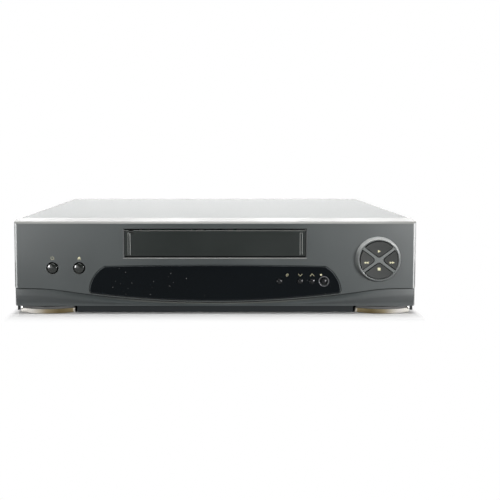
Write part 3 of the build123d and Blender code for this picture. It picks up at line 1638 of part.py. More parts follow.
with BuildPart() as drive_belt:
    with BuildSketch(level(pulley_low + (pulley_height - belt_width) / 2)):
        with Locations((capstan_x, capstan_y)):
            Circle(capstan_pulley_radius + belt_gap + belt_thickness)
        with Locations((0, clutch_y)):
            Circle(clutch_pulley_radius + belt_gap + belt_thickness)
        make_hull()
    extrude(amount=belt_width)
    with BuildSketch(level(pulley_low)):
        with Locations((capstan_x, capstan_y)):
            Circle(capstan_pulley_radius + belt_gap)
        with Locations((0, clutch_y)):
            Circle(clutch_pulley_radius + belt_gap)
        make_hull()
    extrude(amount=pulley_height, mode=Mode.SUBTRACT)
drive_belt.part.label = "drive_belt"
export_step(drive_belt.part, "parts/drive_belt.step")

with BuildPart() as idler_arm:
    with BuildSketch(level(arm_low)):
        with Locations((0, clutch_y - idler_reach / 2)):
            SlotCenterToCenter(idler_reach, 2 * arm_boss_radius, rotation=90)
        with Locations((0, clutch_y)):
            Circle(clutch_shaft_radius + running_gap, mode=Mode.SUBTRACT)
    extrude(amount=arm_thickness)
    disc(0, clutch_y - idler_reach, (wheel_low, arm_low + 0.1), clutch_shaft_radius)
idler_arm.part.label = "idler_arm"
export_step(idler_arm.part, "parts/idler_arm.step")

with BuildPart() as idler_wheel:
    disc(0, clutch_y - idler_reach, (wheel_low, wheel_low + wheel_thickness), idler_radius)
    disc(
        0,
        clutch_y - idler_reach,
        (wheel_low - 1, wheel_low + wheel_thickness + 1),
        clutch_shaft_radius + running_gap,
        Mode.SUBTRACT,
    )
idler_wheel.part.label = "idler_wheel"
export_step(idler_wheel.part, "parts/idler_wheel.step")

with BuildPart() as pinch_arm:
    with BuildSketch(level(pinch_arm_low)):
        with Locations(((pinch_pivot_x + roller_x) / 2, (pinch_pivot_y + roller_y) / 2)):
            SlotCenterToCenter(pinch_reach, 2 * arm_boss_radius, rotation=pinch_direction)
    extrude(amount=arm_thickness)
    disc(
        pinch_pivot_x,
        pinch_pivot_y,
        (deck_top + post_clearance, pinch_arm_low + arm_thickness + 1),
        arm_boss_radius - 0.5,
    )
    disc(roller_x, roller_y, (pinch_arm_low + 0.5, roller_top + 1.5), pinch_shaft_radius)
    disc(
        pinch_pivot_x,
        pinch_pivot_y,
        (deck_top, pinch_arm_low + arm_thickness + 2),
        arm_post_radius + running_gap,
        Mode.SUBTRACT,
    )
pinch_arm.part.label = "pinch_arm"
export_step(pinch_arm.part, "parts/pinch_arm.step")

with BuildPart() as pinch_roller:
    disc(roller_x, roller_y, (roller_low, roller_top), pinch_radius)
    disc(
        roller_x,
        roller_y,
        (roller_low - 1, roller_top + 1),
        pinch_shaft_radius + running_gap,
        Mode.SUBTRACT,
    )
pinch_roller.part.label = "pinch_roller"
export_step(pinch_roller.part, "parts/pinch_roller.step")

# ---- Tape guides and the loading drive -------------------------------------------------------------


def tape_guide(hand):
    """A carriage in its slot, with an upright roller guide and a leaning pin."""
    x = hand * guide_rest_x
    with BuildPart() as guide:
        foot_top = deck_floor - slip
        disc(x, guide_rest_y, (foot_top - guide_foot_thickness, foot_top), guide_foot_radius)
        disc(x, guide_rest_y, (deck_floor - 0.4, deck_top + slip + 0.1), guide_slot_width / 2 - 0.2)
        disc(x, guide_rest_y, (deck_top + slip, deck_top + 3.4), guide_foot_radius)
        disc(x, guide_rest_y, (deck_top + 3, guide_top), 1.5)
        disc(x, guide_rest_y, (guide_top - 20, guide_top - 3), guide_roller_radius)
        disc(x, guide_rest_y, (guide_top - 3.4, guide_top - 2), guide_roller_radius + 1)
    return guide


guide_left = tape_guide(-1)
guide_left.part.label = "guide_left"
export_step(guide_left.part, "parts/guide_left.step")
guide_right = tape_guide(1)
guide_right.part.label = "guide_right"
export_step(guide_right.part, "parts/guide_right.step")

with BuildPart() as loading_cam:
    with BuildSketch(level(deck_top + post_clearance)):
        with Locations((cam_x, cam_y)):
            Circle(cam_radius)
            with PolarLocations(cam_radius + 0.6, cam_teeth):
                Circle(1.3, mode=Mode.SUBTRACT)
    extrude(amount=4)
    disc(cam_x, cam_y, (deck_top + post_clearance, worm_height), worm_wheel_radius / 2)
    disc(cam_x, cam_y, (worm_height - 2, worm_height + 2), worm_wheel_radius)
    disc(cam_x, cam_y, (deck_top, cam_top), arm_post_radius + running_gap, Mode.SUBTRACT)
loading_cam.part.label = "loading_cam"
export_step(loading_cam.part, "parts/loading_cam.step")

with BuildPart() as loading_motor:
    pin(motor_y, worm_height, (motor_left, motor_left + motor_length), motor_radius)
    pin(motor_y, worm_height, (motor_left - 2, motor_left + 0.1), 3.2)
    pin(motor_y, worm_height, (cam_x - 9, motor_left), 1.0)
    pin(motor_y, worm_height, (cam_x - 7, cam_x + 7), worm_radius)
    # The bracket stands on the deck.
    block((motor_left + 3, motor_left + 5), (motor_y - 8, motor_y + 8), (deck_top, worm_height))
    block(
        (motor_left + 3, motor_left + 16),
        (motor_y - 8, motor_y + 8),
        (deck_top, worm_height - motor_radius + 0.4),
    )
loading_motor.part.label = "loading_motor"
export_step(loading_motor.part, "parts/loading_motor.step")

with BuildPart() as tape_heads:
    for base_x, base_y in ((head_x, head_y), (erase_x, erase_y)):
        block((base_x - 8, base_x + 8), (base_y - 6, base_y + 6), (deck_top, deck_top + 2))
        disc(base_x, base_y, (deck_top + 1.9, guide_top - 22), 2.5)
        block((base_x - 5, base_x + 5), (base_y - 4, base_y + 4), (guide_top - 22.1, guide_top - 2))
tape_heads.part.label = "tape_heads"
export_step(tape_heads.part, "parts/tape_heads.step")
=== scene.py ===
"""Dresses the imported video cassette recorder: finishes, markings, studio and camera.

Every measure is in metres, in the frame of the CAD model: +X to the right, +Y to the back, +Z up.
"""

from math import cos, pi, radians, sin

import bmesh
import bpy
from bpy.props import FloatProperty, FloatVectorProperty, PointerProperty
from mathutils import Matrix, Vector
from mathutils.bvhtree import BVHTree


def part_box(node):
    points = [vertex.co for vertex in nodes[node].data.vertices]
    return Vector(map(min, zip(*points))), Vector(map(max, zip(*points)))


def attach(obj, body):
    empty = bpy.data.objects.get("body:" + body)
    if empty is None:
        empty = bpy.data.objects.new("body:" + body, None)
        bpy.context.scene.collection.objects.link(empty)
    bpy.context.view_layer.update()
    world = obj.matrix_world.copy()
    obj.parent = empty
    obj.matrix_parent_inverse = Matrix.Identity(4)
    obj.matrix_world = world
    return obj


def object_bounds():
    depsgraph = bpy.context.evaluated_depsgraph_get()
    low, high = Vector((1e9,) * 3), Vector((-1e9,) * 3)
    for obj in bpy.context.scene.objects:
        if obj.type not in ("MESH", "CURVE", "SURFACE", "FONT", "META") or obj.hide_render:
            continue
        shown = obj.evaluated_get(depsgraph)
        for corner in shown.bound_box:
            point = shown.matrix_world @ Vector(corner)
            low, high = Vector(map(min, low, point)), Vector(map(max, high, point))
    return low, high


bl_info = {
    "name": "Video Cassette Recorder",
    "version": (1, 0, 0),
    "blender": (4, 5, 0),
    "location": "3D Viewport > Sidebar > Recorder",
    "description": "Finishes, markings and studio for a video cassette recorder",
    "category": "Object",
}

ROOT = "chassis"
MM = 0.001
BLACK = (0.001, 0.001, 0.001)
WHITE = (1.0, 1.0, 1.0)
ALL_WAYS = {"sideways": 1.0, "upwards": 1.0, "downwards": 1.0}
ROUND_KEYS = ("power_button", "eject_button")
SMALL_KEYS = ("timer_button", "channel_down_button", "channel_up_button", "record_button")
TRANSPORT_KEYS = ("play_key", "stop_key", "rewind_key", "forward_key")

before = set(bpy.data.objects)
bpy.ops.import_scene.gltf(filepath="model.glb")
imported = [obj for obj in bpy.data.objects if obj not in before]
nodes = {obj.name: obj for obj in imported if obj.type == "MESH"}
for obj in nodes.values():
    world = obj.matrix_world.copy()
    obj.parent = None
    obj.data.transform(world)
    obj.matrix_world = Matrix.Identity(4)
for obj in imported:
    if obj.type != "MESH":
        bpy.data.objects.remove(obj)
cad_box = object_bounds()
panel_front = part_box("front_panel")[0][1]


# ---- Settings --------------------------------------------------------------------------------


def colour_setting(name, description, default):
    """A colour property."""
    return FloatVectorProperty(
        name=name,
        description=description,
        default=default,
        subtype="COLOR",
        size=3,
        min=0.0,
        max=1.0,
    )


def length_setting(name, description, default):
    """A length property in metres."""
    return FloatProperty(
        name=name, description=description, default=default, unit="LENGTH", min=0.0
    )


def power_setting(name, description, default):
    """A lamp's power in watts."""
    return FloatProperty(
        name=name, description=description, default=default, unit="POWER", min=0.0
    )


def amount_setting(name, description, default):
    """A plain factor that is never negative."""
    return FloatProperty(name=name, description=description, default=default, min=0.0)


class CaseColours(bpy.types.PropertyGroup):
    """Colours of the case and the front."""

    panel: colour_setting("Panel", "Moulded front panel", (0.0138, 0.0172, 0.0173))
    cover: colour_setting("Cover", "Painted sheet-metal cover", (0.16, 0.166, 0.163))
    door: colour_setting("Door", "Cassette door", (0.0036, 0.0052, 0.0046))
    window: colour_setting("Window", "Smoked display window", (0.0009, 0.0015, 0.002))
    keys: colour_setting("Keys", "Round keys and keypad", (0.0056, 0.0066, 0.006))
    small_keys: colour_setting("Small keys", "Keys inside the window", (0.0015, 0.0018, 0.0022))
    bezel: colour_setting("Bezel", "Raised ring of the keypad", (0.037, 0.041, 0.04))
    marking: colour_setting("Marking", "Printed symbols", (0.27, 0.255, 0.16))
    foot_trim: colour_setting("Foot trim", "Metallised band round a front foot", (0.72, 0.56, 0.27))


class MarkingSizes(bpy.types.PropertyGroup):
    """Sizes of the printed symbols."""

    film: length_setting("Film", "Thickness of the printed symbols", 0.00005)
    key_symbol: length_setting("Key symbol", "Height of the symbols on the keypad", 0.0029)
    small_symbol: length_setting("Small symbol", "Height of the symbols in the window", 0.0027)
    case_symbol: length_setting("Case symbol", "Height of the symbols above the round keys", 0.0036)
    stroke: length_setting("Stroke", "Width of drawn lines", 0.00042)


class StudioSettings(bpy.types.PropertyGroup):
    """Camera, lamps and floor."""

    lens: FloatProperty(
        name="Lens",
        description="Focal length in millimetres",
        default=45.99,
        unit="CAMERA",
        min=10.0,
    )
    distance: length_setting("Distance", "From the camera to the front panel", 0.677)
    height: length_setting("Height", "Height of the camera above the floor", 0.1774)
    tilt: FloatProperty(
        name="Tilt",
        description="Downward tilt of the camera",
        default=radians(3.1),
        subtype="ANGLE",
    )
    shift_x: FloatProperty(
        name="Shift X", description="Sideways shift of the view", default=0.0698
    )
    shift_y: FloatProperty(
        name="Shift Y", description="Upright shift of the view", default=-0.133
    )
    overhead_power: power_setting("Overhead power", "Overhead lamp in watts", 31.0)
    front_power: power_setting("Front power", "Each front lamp in watts", 1.5)
    side_power: power_setting("Side power", "Each lamp beside the ends in watts", 32.0)
    back_power: power_setting("Back power", "Low lamp behind in watts", 18.0)
    ambient: amount_setting("Ambient", "Strength of the world's soft light", 0.15)
    mirrored: amount_setting("Mirrored", "Brightness of the mirrored room in front", 0.1)
    fade: length_setting("Fade", "Width of the floor's fade to white", 0.027)


# ---- Shader helpers --------------------------------------------------------------------------


def node(tree, kind, **values):
    """Adds a node. A value that is a socket is linked, and any other value is set."""
    made = tree.nodes.new(kind)
    for key, value in values.items():
        if hasattr(made, key) and key not in made.inputs:
            setattr(made, key, value)
            continue
        name = int(key[1:]) if key[0] == "i" and key[1:].isdigit() else key.replace("_", " ")
        plug(tree, made.inputs[name], value)
    return made


def plug(tree, socket, value):
    """Links a socket to value when that is an output, and sets it otherwise."""
    if isinstance(value, bpy.types.NodeSocket):
        tree.links.new(value, socket)
    elif isinstance(value, tuple) and len(value) == 3 and socket.type == "RGBA":
        socket.default_value = (*value, 1.0)
    else:
        socket.default_value = value


def spot(tree):
    """The place on the surface, in the frame of the CAD model."""
    return node(tree, "ShaderNodeTexCoord").outputs["Object"]


def axes(tree, source):
    """X, Y and Z of a texture coordinate."""
    coordinate = node(tree, "ShaderNodeTexCoord").outputs[source]
    return node(tree, "ShaderNodeSeparateXYZ", i0=coordinate).outputs


def combined(tree, operation, first, second=0.0):
    """The output of a math node."""
    return node(tree, "ShaderNodeMath", operation=operation, i0=first, i1=second).outputs[0]


def product(tree, first, *others):
    """The product of masks and numbers."""
    for other in others:
        first = combined(tree, "MULTIPLY", first, other)
    return first


def vectors(tree, operation, first, second=(0.0, 0.0, 0.0)):
    """The output of a vector math node."""
    made = node(tree, "ShaderNodeVectorMath", operation=operation, i0=first, i1=second)
    return made.outputs["Value" if operation == "LENGTH" else "Vector"]


def stepped(tree, value, start, end, low=0.0, high=1.0):
    """value brought from start..end to low..high, and held beyond both ends."""
    return node(tree, "ShaderNodeMapRange", i0=value, i1=start, i2=end, i3=low, i4=high).outputs[0]


def ranged(tree, value, low=0.0, high=1.0):
    """A noise's value brought to low..high."""
    return stepped(tree, value, 0.3, 0.7, low, high)


def mixed(tree, factor, first, second):
    """A colour between first and second."""
    return node(tree, "ShaderNodeMix", data_type="RGBA", i0=factor, i6=first, i7=second).outputs[2]


def levelled(tree, factor, first, second):
    """A number between first and second."""
    return node(tree, "ShaderNodeMix", data_type="FLOAT", i0=factor, i2=first, i3=second).outputs[0]


def bumped(tree, shader, height, strength, distance):
    """Feeds the shader's normal from a height."""
    bump = node(tree, "ShaderNodeBump", Height=height, Strength=strength, Distance=distance)
    tree.links.new(bump.outputs[0], shader.inputs["Normal"])


def shaded(base, factor):
    """A colour made lighter or darker."""
    return tuple(min(1.0, channel * factor) for channel in base)


def new_material(name):
    """An empty node material: the material, its tree and its Principled shader."""
    material = bpy.data.materials.new(name)
    material.use_nodes = True
    tree = material.node_tree
    return material, tree, tree.nodes["Principled BSDF"]


# ---- Shared effects --------------------------------------------------------------------------


def new_group(name, inputs, outputs):
    """A shader node group. Inputs are (name, type, default), and each output is a number."""
    tree = bpy.data.node_groups.new(name, "ShaderNodeTree")
    for label, kind, default in inputs:
        tree.interface.new_socket(label, in_out="INPUT", socket_type=kind).default_value = default
    for label in outputs:
        tree.interface.new_socket(label, in_out="OUTPUT", socket_type="NodeSocketFloat")
    return tree, tree.nodes.new("NodeGroupInput").outputs, tree.nodes.new("NodeGroupOutput").inputs


def shared(maker):
    """The node group that maker makes, made once."""
    name = maker.__name__.replace("_", " ").capitalize()
    return bpy.data.node_groups.get(name) or maker()


def group_node(tree, maker, **values):
    """A group node in a material, with its inputs set. Returns its outputs."""
    made = tree.nodes.new("ShaderNodeGroup")
    made.node_tree = shared(maker)
    for key, value in values.items():
        plug(tree, made.inputs[key.replace("_", " ")], value)
    return made.outputs


def domed_cap():
    """Height of a shallow dome around Centre: 1 in the middle, 0 at Radius."""
    tree, given, out = new_group(
        "Domed cap",
        [("Centre", "NodeSocketVector", (0.0, 0.0, 0.0)), ("Radius", "NodeSocketFloat", 0.005)],
        ["Height"],
    )
    away = vectors(tree, "SUBTRACT", spot(tree), given["Centre"])
    reach = vectors(tree, "LENGTH", vectors(tree, "MULTIPLY", away, (1.0, 0.0, 1.0)))
    square = combined(tree, "POWER", combined(tree, "DIVIDE", reach, given["Radius"]), 2.0)
    plug(tree, out["Height"], combined(tree, "SUBTRACT", 1.0, square))
    return tree


def turned_surfaces():
    """Masks of surfaces that turn away from the front: sideways, upwards and downwards."""
    tree, given, out = new_group(
        "Turned surfaces",
        [("Start", "NodeSocketFloat", 0.3), ("End", "NodeSocketFloat", 0.6)],
        ["Sideways", "Upwards", "Downwards"],
    )
    for label, value in turns(tree).items():
        plug(tree, out[label.capitalize()], stepped(tree, value, given["Start"], given["End"]))
    return tree


def turns(tree):
    """How far a surface turns sideways, upwards and downwards: 0 is not at all and 1 squarely."""
    facing = axes(tree, "Normal")
    return {
        "sideways": combined(tree, "ABSOLUTE", facing["X"]),
        "upwards": facing["Z"],
        "downwards": product(tree, facing["Z"], -1.0),
    }


def moulding_grain():
    """Fine grain of a spark-eroded mould, and slow changes of tone over the surface."""
    tree, given, out = new_group(
        "Moulding grain",
        [("Scale", "NodeSocketFloat", 1500.0), ("Cloud", "NodeSocketFloat", 14.0)],
        ["Height", "Tone"],
    )
    place = spot(tree)
    fine = node(
        tree,
        "ShaderNodeTexNoise",
        Vector=place,
        Scale=given["Scale"],
        Detail=3.0,
        Roughness=0.6,
    )
    slow = node(tree, "ShaderNodeTexNoise", Vector=place, Scale=given["Cloud"], Detail=2.0)
    plug(tree, out["Height"], fine.outputs["Fac"])
    plug(tree, out["Tone"], slow.outputs["Fac"])
    return tree


def brushed_grain():
    """Grain drawn out along one direction, as on rolled or brushed metal."""
    tree, given, out = new_group(
        "Brushed grain",
        [("Scale", "NodeSocketFloat", 600.0), ("Stretch", "NodeSocketVector", (0.03, 1.0, 1.0))],
        ["Height", "Tone"],
    )
    place = spot(tree)
    drawn = vectors(tree, "MULTIPLY", place, given["Stretch"])
    fine = node(
        tree,
        "ShaderNodeTexNoise",
        Vector=drawn,
        Scale=given["Scale"],
        Detail=4.0,
        Roughness=0.7,
    )
    slow = node(tree, "ShaderNodeTexNoise", Vector=place, Scale=9.0, Detail=3.0)
    plug(tree, out["Height"], fine.outputs["Fac"])
    plug(tree, out["Tone"], slow.outputs["Fac"])
    return tree


def settled_dust():
    """Specks of dust and a few short hairline scratches, both in patches."""
    tree, given, out = new_group(
        "Settled dust",
        [
            ("Specks", "NodeSocketFloat", 420.0),
            ("Cover", "NodeSocketFloat", 0.12),
            ("Scratch scale", "NodeSocketFloat", 30.0),
        ],
        ["Dust", "Scratches"],
    )
    place = spot(tree)
    patches = node(tree, "ShaderNodeTexNoise", Vector=place, Scale=60.0, Detail=2.0)
    patchy = stepped(tree, patches.outputs["Fac"], 0.5, 0.7)
    specks = node(tree, "ShaderNodeTexVoronoi", Vector=place, Scale=given["Specks"], Randomness=1.0)
    near = stepped(tree, specks.outputs["Distance"], 0.0, given["Cover"], 1.0, 0.0)
    plug(tree, out["Dust"], product(tree, near, patchy))
    # Each scratch is one cell's middle, drawn out along a slant. A third of the cells have one.
    slanted = node(
        tree, "ShaderNodeMapping", Vector=place, Rotation=(0.0, 0.65, 0.0), Scale=(18.0, 1.0, 1.0)
    )
    hair = node(
        tree, "ShaderNodeTexVoronoi", Vector=slanted.outputs[0], Scale=given["Scratch scale"]
    )
    thin = stepped(tree, hair.outputs["Distance"], 0.03, 0.09, 1.0, 0.0)
    few = combined(tree, "GREATER_THAN", hair.outputs["Color"], 0.66)
    plug(tree, out["Scratches"], product(tree, thin, few, patchy))
    return tree


def edge_wear():
    """A mask of the outer edges, broken up by noise."""
    tree, given, out = new_group(
        "Edge wear",
        [("Start", "NodeSocketFloat", 0.52), ("End", "NodeSocketFloat", 0.6)],
        ["Wear"],
    )
    sharp = node(tree, "ShaderNodeNewGeometry").outputs["Pointiness"]
    noise = node(tree, "ShaderNodeTexNoise", Vector=spot(tree), Scale=180.0, Detail=4.0)
    edge = stepped(tree, sharp, given["Start"], given["End"])
    plug(tree, out["Wear"], product(tree, edge, noise.outputs["Fac"]))
    return tree


# ---- Finishes --------------------------------------------------------------------------------


def finish(tree, shader, colour, roughness, height, bump_strength, bump_depth):
    """Plugs what most finishes have: a colour, a roughness and a fine relief."""
    plug(tree, shader.inputs["Base Color"], colour)
    plug(tree, shader.inputs["Roughness"], roughness)
    bumped(tree, shader, height, bump_strength, bump_depth)


def moulded_plastic(
    name, base, roughness, grain=1500.0, depth=0.00004, relief=0.35, dust=0.04, mirror=0.5
):
    """Moulded plastic with a fine grain, slow changes of tone and a trace of dust."""
    material, tree, shader = new_material(name)
    grained = group_node(tree, moulding_grain, Scale=grain)
    tone = mixed(tree, ranged(tree, grained["Tone"]), shaded(base, 0.94), shaded(base, 1.06))
    speck = product(tree, group_node(tree, settled_dust)["Dust"], dust)
    dust_colour = (0.6, 0.6, 0.58)
    dusted = mixed(tree, speck, tone, dust_colour)
    uneven = ranged(tree, grained["Tone"], roughness - 0.03, roughness + 0.05)
    finish(tree, shader, dusted, uneven, grained["Height"], relief, depth)
    shader.inputs["Specular IOR Level"].default_value = mirror
    return material


def glossy_plastic(name, base, roughness, dust=0.18, mirror=0.5, coat=0.3, specks=300.0):
    """Polished plastic with hairline scratches and specks of dust."""
    material, tree, shader = new_material(name)
    dusty = group_node(tree, settled_dust, Specks=specks, Cover=0.1, Scratch_scale=26.0)
    grained = group_node(tree, moulding_grain, Scale=300.0)
    pale_scratches = product(tree, dusty["Scratches"], 0.3)
    marks = product(tree, combined(tree, "MAXIMUM", dusty["Dust"], pale_scratches), dust)
    tone = mixed(tree, grained["Tone"], shaded(base, 0.8), shaded(base, 1.2))
    mark_colour = (0.5, 0.5, 0.48)
    dusted = mixed(tree, marks, tone, mark_colour)
    scraped = combined(tree, "ADD", product(tree, dusty["Scratches"], 0.25), roughness)
    finish(tree, shader, dusted, scraped, grained["Height"], 0.04, 0.00002)
    shader.inputs["Specular IOR Level"].default_value = mirror
    shader.inputs["Coat Weight"].default_value = coat
    shader.inputs["Coat Roughness"].default_value = 0.05
    return material


def sheet_metal(name, base, roughness=0.34, stretch=(0.04, 1.0, 1.0), scale=700.0, relief=0.12):
    """Bare rolled sheet metal with a drawn grain and slightly worn edges."""
    material, tree, shader = new_material(name)
    grained = group_node(tree, brushed_grain, Scale=scale, Stretch=stretch)
    tone = mixed(tree, ranged(tree, grained["Tone"]), shaded(base, 0.85), shaded(base, 1.1))
    worn = mixed(tree, group_node(tree, edge_wear)["Wear"], tone, shaded(base, 1.4))
    uneven = ranged(tree, grained["Height"], roughness - 0.06, roughness + 0.08)
    finish(tree, shader, worn, uneven, grained["Height"], relief, 0.00003)
    shader.inputs["Metallic"].default_value = 1.0
    return material


def painted_metal(name, base):
    """Stove paint with metallic flakes, a faint orange-peel and a little dust."""
    material, tree, shader = new_material(name)
    grained = group_node(tree, moulding_grain, Scale=900.0, Cloud=6.0)
    flakes = node(tree, "ShaderNodeTexVoronoi", Vector=spot(tree), Scale=5200.0)
    glint = ranged(tree, flakes.outputs["Distance"])
    tone = mixed(tree, glint, shaded(base, 1.05), shaded(base, 0.93))
    clouded = mixed(tree, ranged(tree, grained["Tone"]), shaded(base, 0.97), tone)
    dusty = group_node(tree, settled_dust, Specks=260.0, Cover=0.06)
    dust_colour = (0.33, 0.32, 0.3)
    dusted = mixed(tree, product(tree, dusty["Dust"], 0.25), clouded, dust_colour)
    uneven = ranged(tree, grained["Height"], 0.5, 0.6)
    finish(tree, shader, dusted, uneven, grained["Height"], 0.12, 0.00003)
    shader.inputs["Specular IOR Level"].default_value = 0.1
    return material


def plated_metal(name, base, roughness):
    """Plated or metallised surface with a little cloudiness and fine scratches."""
    material, tree, shader = new_material(name)
    grained = group_node(tree, moulding_grain, Scale=700.0, Cloud=40.0)
    tone = mixed(tree, ranged(tree, grained["Tone"]), shaded(base, 0.88), shaded(base, 1.1))
    scratches = product(tree, group_node(tree, settled_dust)["Scratches"], 0.3)
    scraped = combined(tree, "ADD", scratches, roughness)
    finish(tree, shader, tone, scraped, grained["Height"], 0.06, 0.00002)
    shader.inputs["Metallic"].default_value = 1.0
    return material


def rubber(name, base=(0.014, 0.014, 0.014)):
    """Matt rubber with a greyish bloom."""
    material, tree, shader = new_material(name)
    grained = group_node(tree, moulding_grain, Scale=1100.0, Cloud=90.0)
    bloom = mixed(tree, ranged(tree, grained["Tone"]), base, shaded(base, 2.2))
    uneven = ranged(tree, grained["Height"], 0.62, 0.85)
    finish(tree, shader, bloom, uneven, grained["Height"], 0.4, 0.00006)
    return material


def circuit_board(name):
    """Green solder resist over copper tracks, with tinned pads."""
    material, tree, shader = new_material(name)
    base, tin = (0.03, 0.11, 0.05), (0.5, 0.5, 0.48)
    place = spot(tree)
    tracks = node(tree, "ShaderNodeTexBrick", Vector=place, Scale=160.0)
    tracks.offset = 0.37
    for label, value in (("Mortar Size", 0.12), ("Brick Width", 1.7), ("Row Height", 0.3)):
        tracks.inputs[label].default_value = value
    pads = node(tree, "ShaderNodeTexVoronoi", Vector=place, Scale=230.0)
    pad = combined(tree, "LESS_THAN", pads.outputs["Distance"], 0.18)
    resist = mixed(tree, tracks.outputs["Fac"], base, shaded(base, 2.4))
    tinned = mixed(tree, pad, resist, tin)
    finish(tree, shader, tinned, 0.3, tracks.outputs["Fac"], 0.3, 0.00004)
    return material


def pick_out(material, shade, within=None, start=0.3, end=0.6, **weights):
    """Paints a highlight or a shade into the base colour where a surface turns sideways, upwards or
    downwards.
    """
    tree = material.node_tree
    turned = group_node(tree, turned_surfaces, Start=start, End=end)
    where = 0.0
    for way, weight in weights.items():
        where = combined(tree, "MAXIMUM", where, product(tree, turned[way.capitalize()], weight))
    if within is not None:
        where = product(tree, where, within)
    socket = tree.nodes["Principled BSDF"].inputs["Base Color"]
    plug(tree, socket, mixed(tree, where, socket.links[0].from_socket, shade))


def shade_panel(material):
    """Paints shade with a dark, dull shader on the panel's skirt, the foot of its band, its
    undercut edges and the slot's walls.
    """
    tree = material.node_tree
    place, turned = axes(tree, "Object"), turns(tree)
    sideways, upwards, downwards = (stepped(tree, value, 0.1, 0.5) for value in turned.values())
    door_low, door_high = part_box("cassette_door")
    band_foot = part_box("bottom_chassis")[0][2] + 1.75 * MM
    # Painted shade on the skirt below the band's foot.
    skirt = stepped(tree, place["Z"], band_foot + 0.1 * MM, band_foot - 0.1 * MM)
    # Painted shade on the band's upright lower part, apart from the rounded edge at its foot.
    band = product(
        tree,
        stepped(tree, place["Y"], panel_front + 0.2 * MM, panel_front + 0.5 * MM),
        stepped(tree, turned["upwards"], 0.27, 0.16),
        stepped(tree, place["Z"], band_foot + 0.6 * MM, band_foot + 1.2 * MM),
        stepped(tree, place["Z"], door_low[2] - 4 * MM, door_low[2] - 8 * MM),
        0.6,
    )
    # Painted shade on the slot's floor behind its bevel, and on its upright walls.
    slot_floor = product(
        tree,
        upwards,
        stepped(tree, place["Y"], panel_front + 0.42 * MM, panel_front + 0.6 * MM),
        stepped(tree, place["Z"], door_low[2] - 4 * MM, door_low[2] - 3 * MM),
        stepped(tree, place["Z"], door_high[2] + 4 * MM, door_high[2] + 3 * MM),
    )
    aside = combined(tree, "ABSOLUTE", place["X"])
    slot = product(
        tree,
        combined(tree, "MAXIMUM", sideways, slot_floor),
        stepped(tree, aside, door_high[0] + 4 * MM, door_high[0] + 3 * MM),
        0.8,
    )
    # Painted shade also goes on downward-facing undercut edges, nearly black there.
    shade = skirt
    for mask in (band, product(tree, downwards, 0.95), slot):
        shade = combined(tree, "MAXIMUM", shade, mask)
    painted_shade_colour = (0.006, 0.0072, 0.0078)
    dark = mixed(tree, downwards, painted_shade_colour, BLACK)
    shade_shader = node(tree, "ShaderNodeBsdfPrincipled", Base_Color=dark, Roughness=0.55)
    shade_shader.inputs["Specular IOR Level"].default_value = 0.1
    plastic = tree.nodes["Principled BSDF"].outputs[0]
    both = node(tree, "ShaderNodeMixShader", i0=shade, i1=plastic, i2=shade_shader.outputs[0])
    plug(tree, tree.nodes["Material Output"].inputs["Surface"], both.outputs[0])


def dress(material, *names):
    """Gives CAD nodes a material."""
    for name in names:
        obj = nodes[name]
        obj.data.materials.clear()
        obj.data.materials.append(material)


def soften(name, width):
    """Rounds a CAD node's sharp edges a little, so that they catch the light."""
    bevel = nodes[name].modifiers.new("Softened edges", "BEVEL")
    bevel.width = width
    bevel.segments = 3
    bevel.limit_method = "ANGLE"
    bevel.angle_limit = radians(35)
    bevel.use_clamp_overlap = True


# ---- Flat symbols ----------------------------------------------------------------------------


def skin(name):
    """A search tree over a CAD node's surface."""
    obj = nodes[name]
    places = [obj.matrix_world @ vertex.co for vertex in obj.data.vertices]
    return BVHTree.FromPolygons(places, [tuple(face.vertices) for face in obj.data.polygons])


def film_mesh(name, outlines, film, carrier, body, material):
    """Printed shapes on a carrier's front. Each outline in X and Z follows its surface."""
    surface = skin(carrier)
    mesh = bpy.data.meshes.new(name)
    shape = bmesh.new()
    for outline in outlines:
        corners = []
        for x, z in outline:
            hit = surface.ray_cast(Vector((x, -1.0, z)), Vector((0.0, 1.0, 0.0)))[0]
            if hit is None:
                raise ValueError(f"{name} runs off the surface of {carrier}")
            corners.append(shape.verts.new((x, hit.y - film, z)))
        made = bmesh.ops.extrude_face_region(shape, geom=[shape.faces.new(corners)])
        moved = [item for item in made["geom"] if isinstance(item, bmesh.types.BMVert)]
        bmesh.ops.translate(shape, verts=moved, vec=(0.0, film * 2, 0.0))
    bmesh.ops.recalc_face_normals(shape, faces=shape.faces)
    shape.to_mesh(mesh)
    shape.free()
    obj = bpy.data.objects.new(name, mesh)
    bpy.context.scene.collection.objects.link(obj)
    mesh.materials.append(material)
    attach(obj, body)
    return obj


def middle(node_name):
    """The middle of a CAD node's box."""
    low, high = (Vector(corner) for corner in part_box(node_name))
    return (low + high) / 2


def triangle(x, z, width, height, turn=0.0):
    """A triangle around x, z: width long and height across, pointing along +X before its turn."""
    flat = ((width / 2, 0.0), (-width / 2, height / 2), (-width / 2, -height / 2))
    return [(x + a * cos(turn) - b * sin(turn), z + a * sin(turn) + b * cos(turn)) for a, b in flat]


def rectangle(x, z, width, height):
    """An upright rectangle around x, z."""
    corners = ((-1, -1), (1, -1), (1, 1), (-1, 1))
    return [(x + a * width / 2, z + b * height / 2) for a, b in corners]


def stroke_outline(points, width):
    """The outline of an open line of that width, with mitred corners."""
    sharpest = 0.3
    left, right = [], []
    for index, (x, z) in enumerate(points):
        before = Vector(points[max(index - 1, 0)])
        after = Vector(points[min(index + 1, len(points) - 1)])
        here = Vector((x, z))
        first = (here - before).normalized() if index else (after - here).normalized()
        second = (after - here).normalized() if index < len(points) - 1 else first
        way = (first + second).normalized()
        normal = Vector((-way.y, way.x))
        reach = width / 2 / max(sharpest, normal.dot(Vector((-first.y, first.x))))
        left.append(tuple(here + normal * reach))
        right.append(tuple(here - normal * reach))
    return left + right[::-1]


def arc(x, z, radius, start, end):
    """Points along an arc, with its angles in radians from +X."""
    count = 24
    angles = (start + (end - start) * i / count for i in range(count + 1))
    return [(x + radius * cos(angle), z + radius * sin(angle)) for angle in angles]


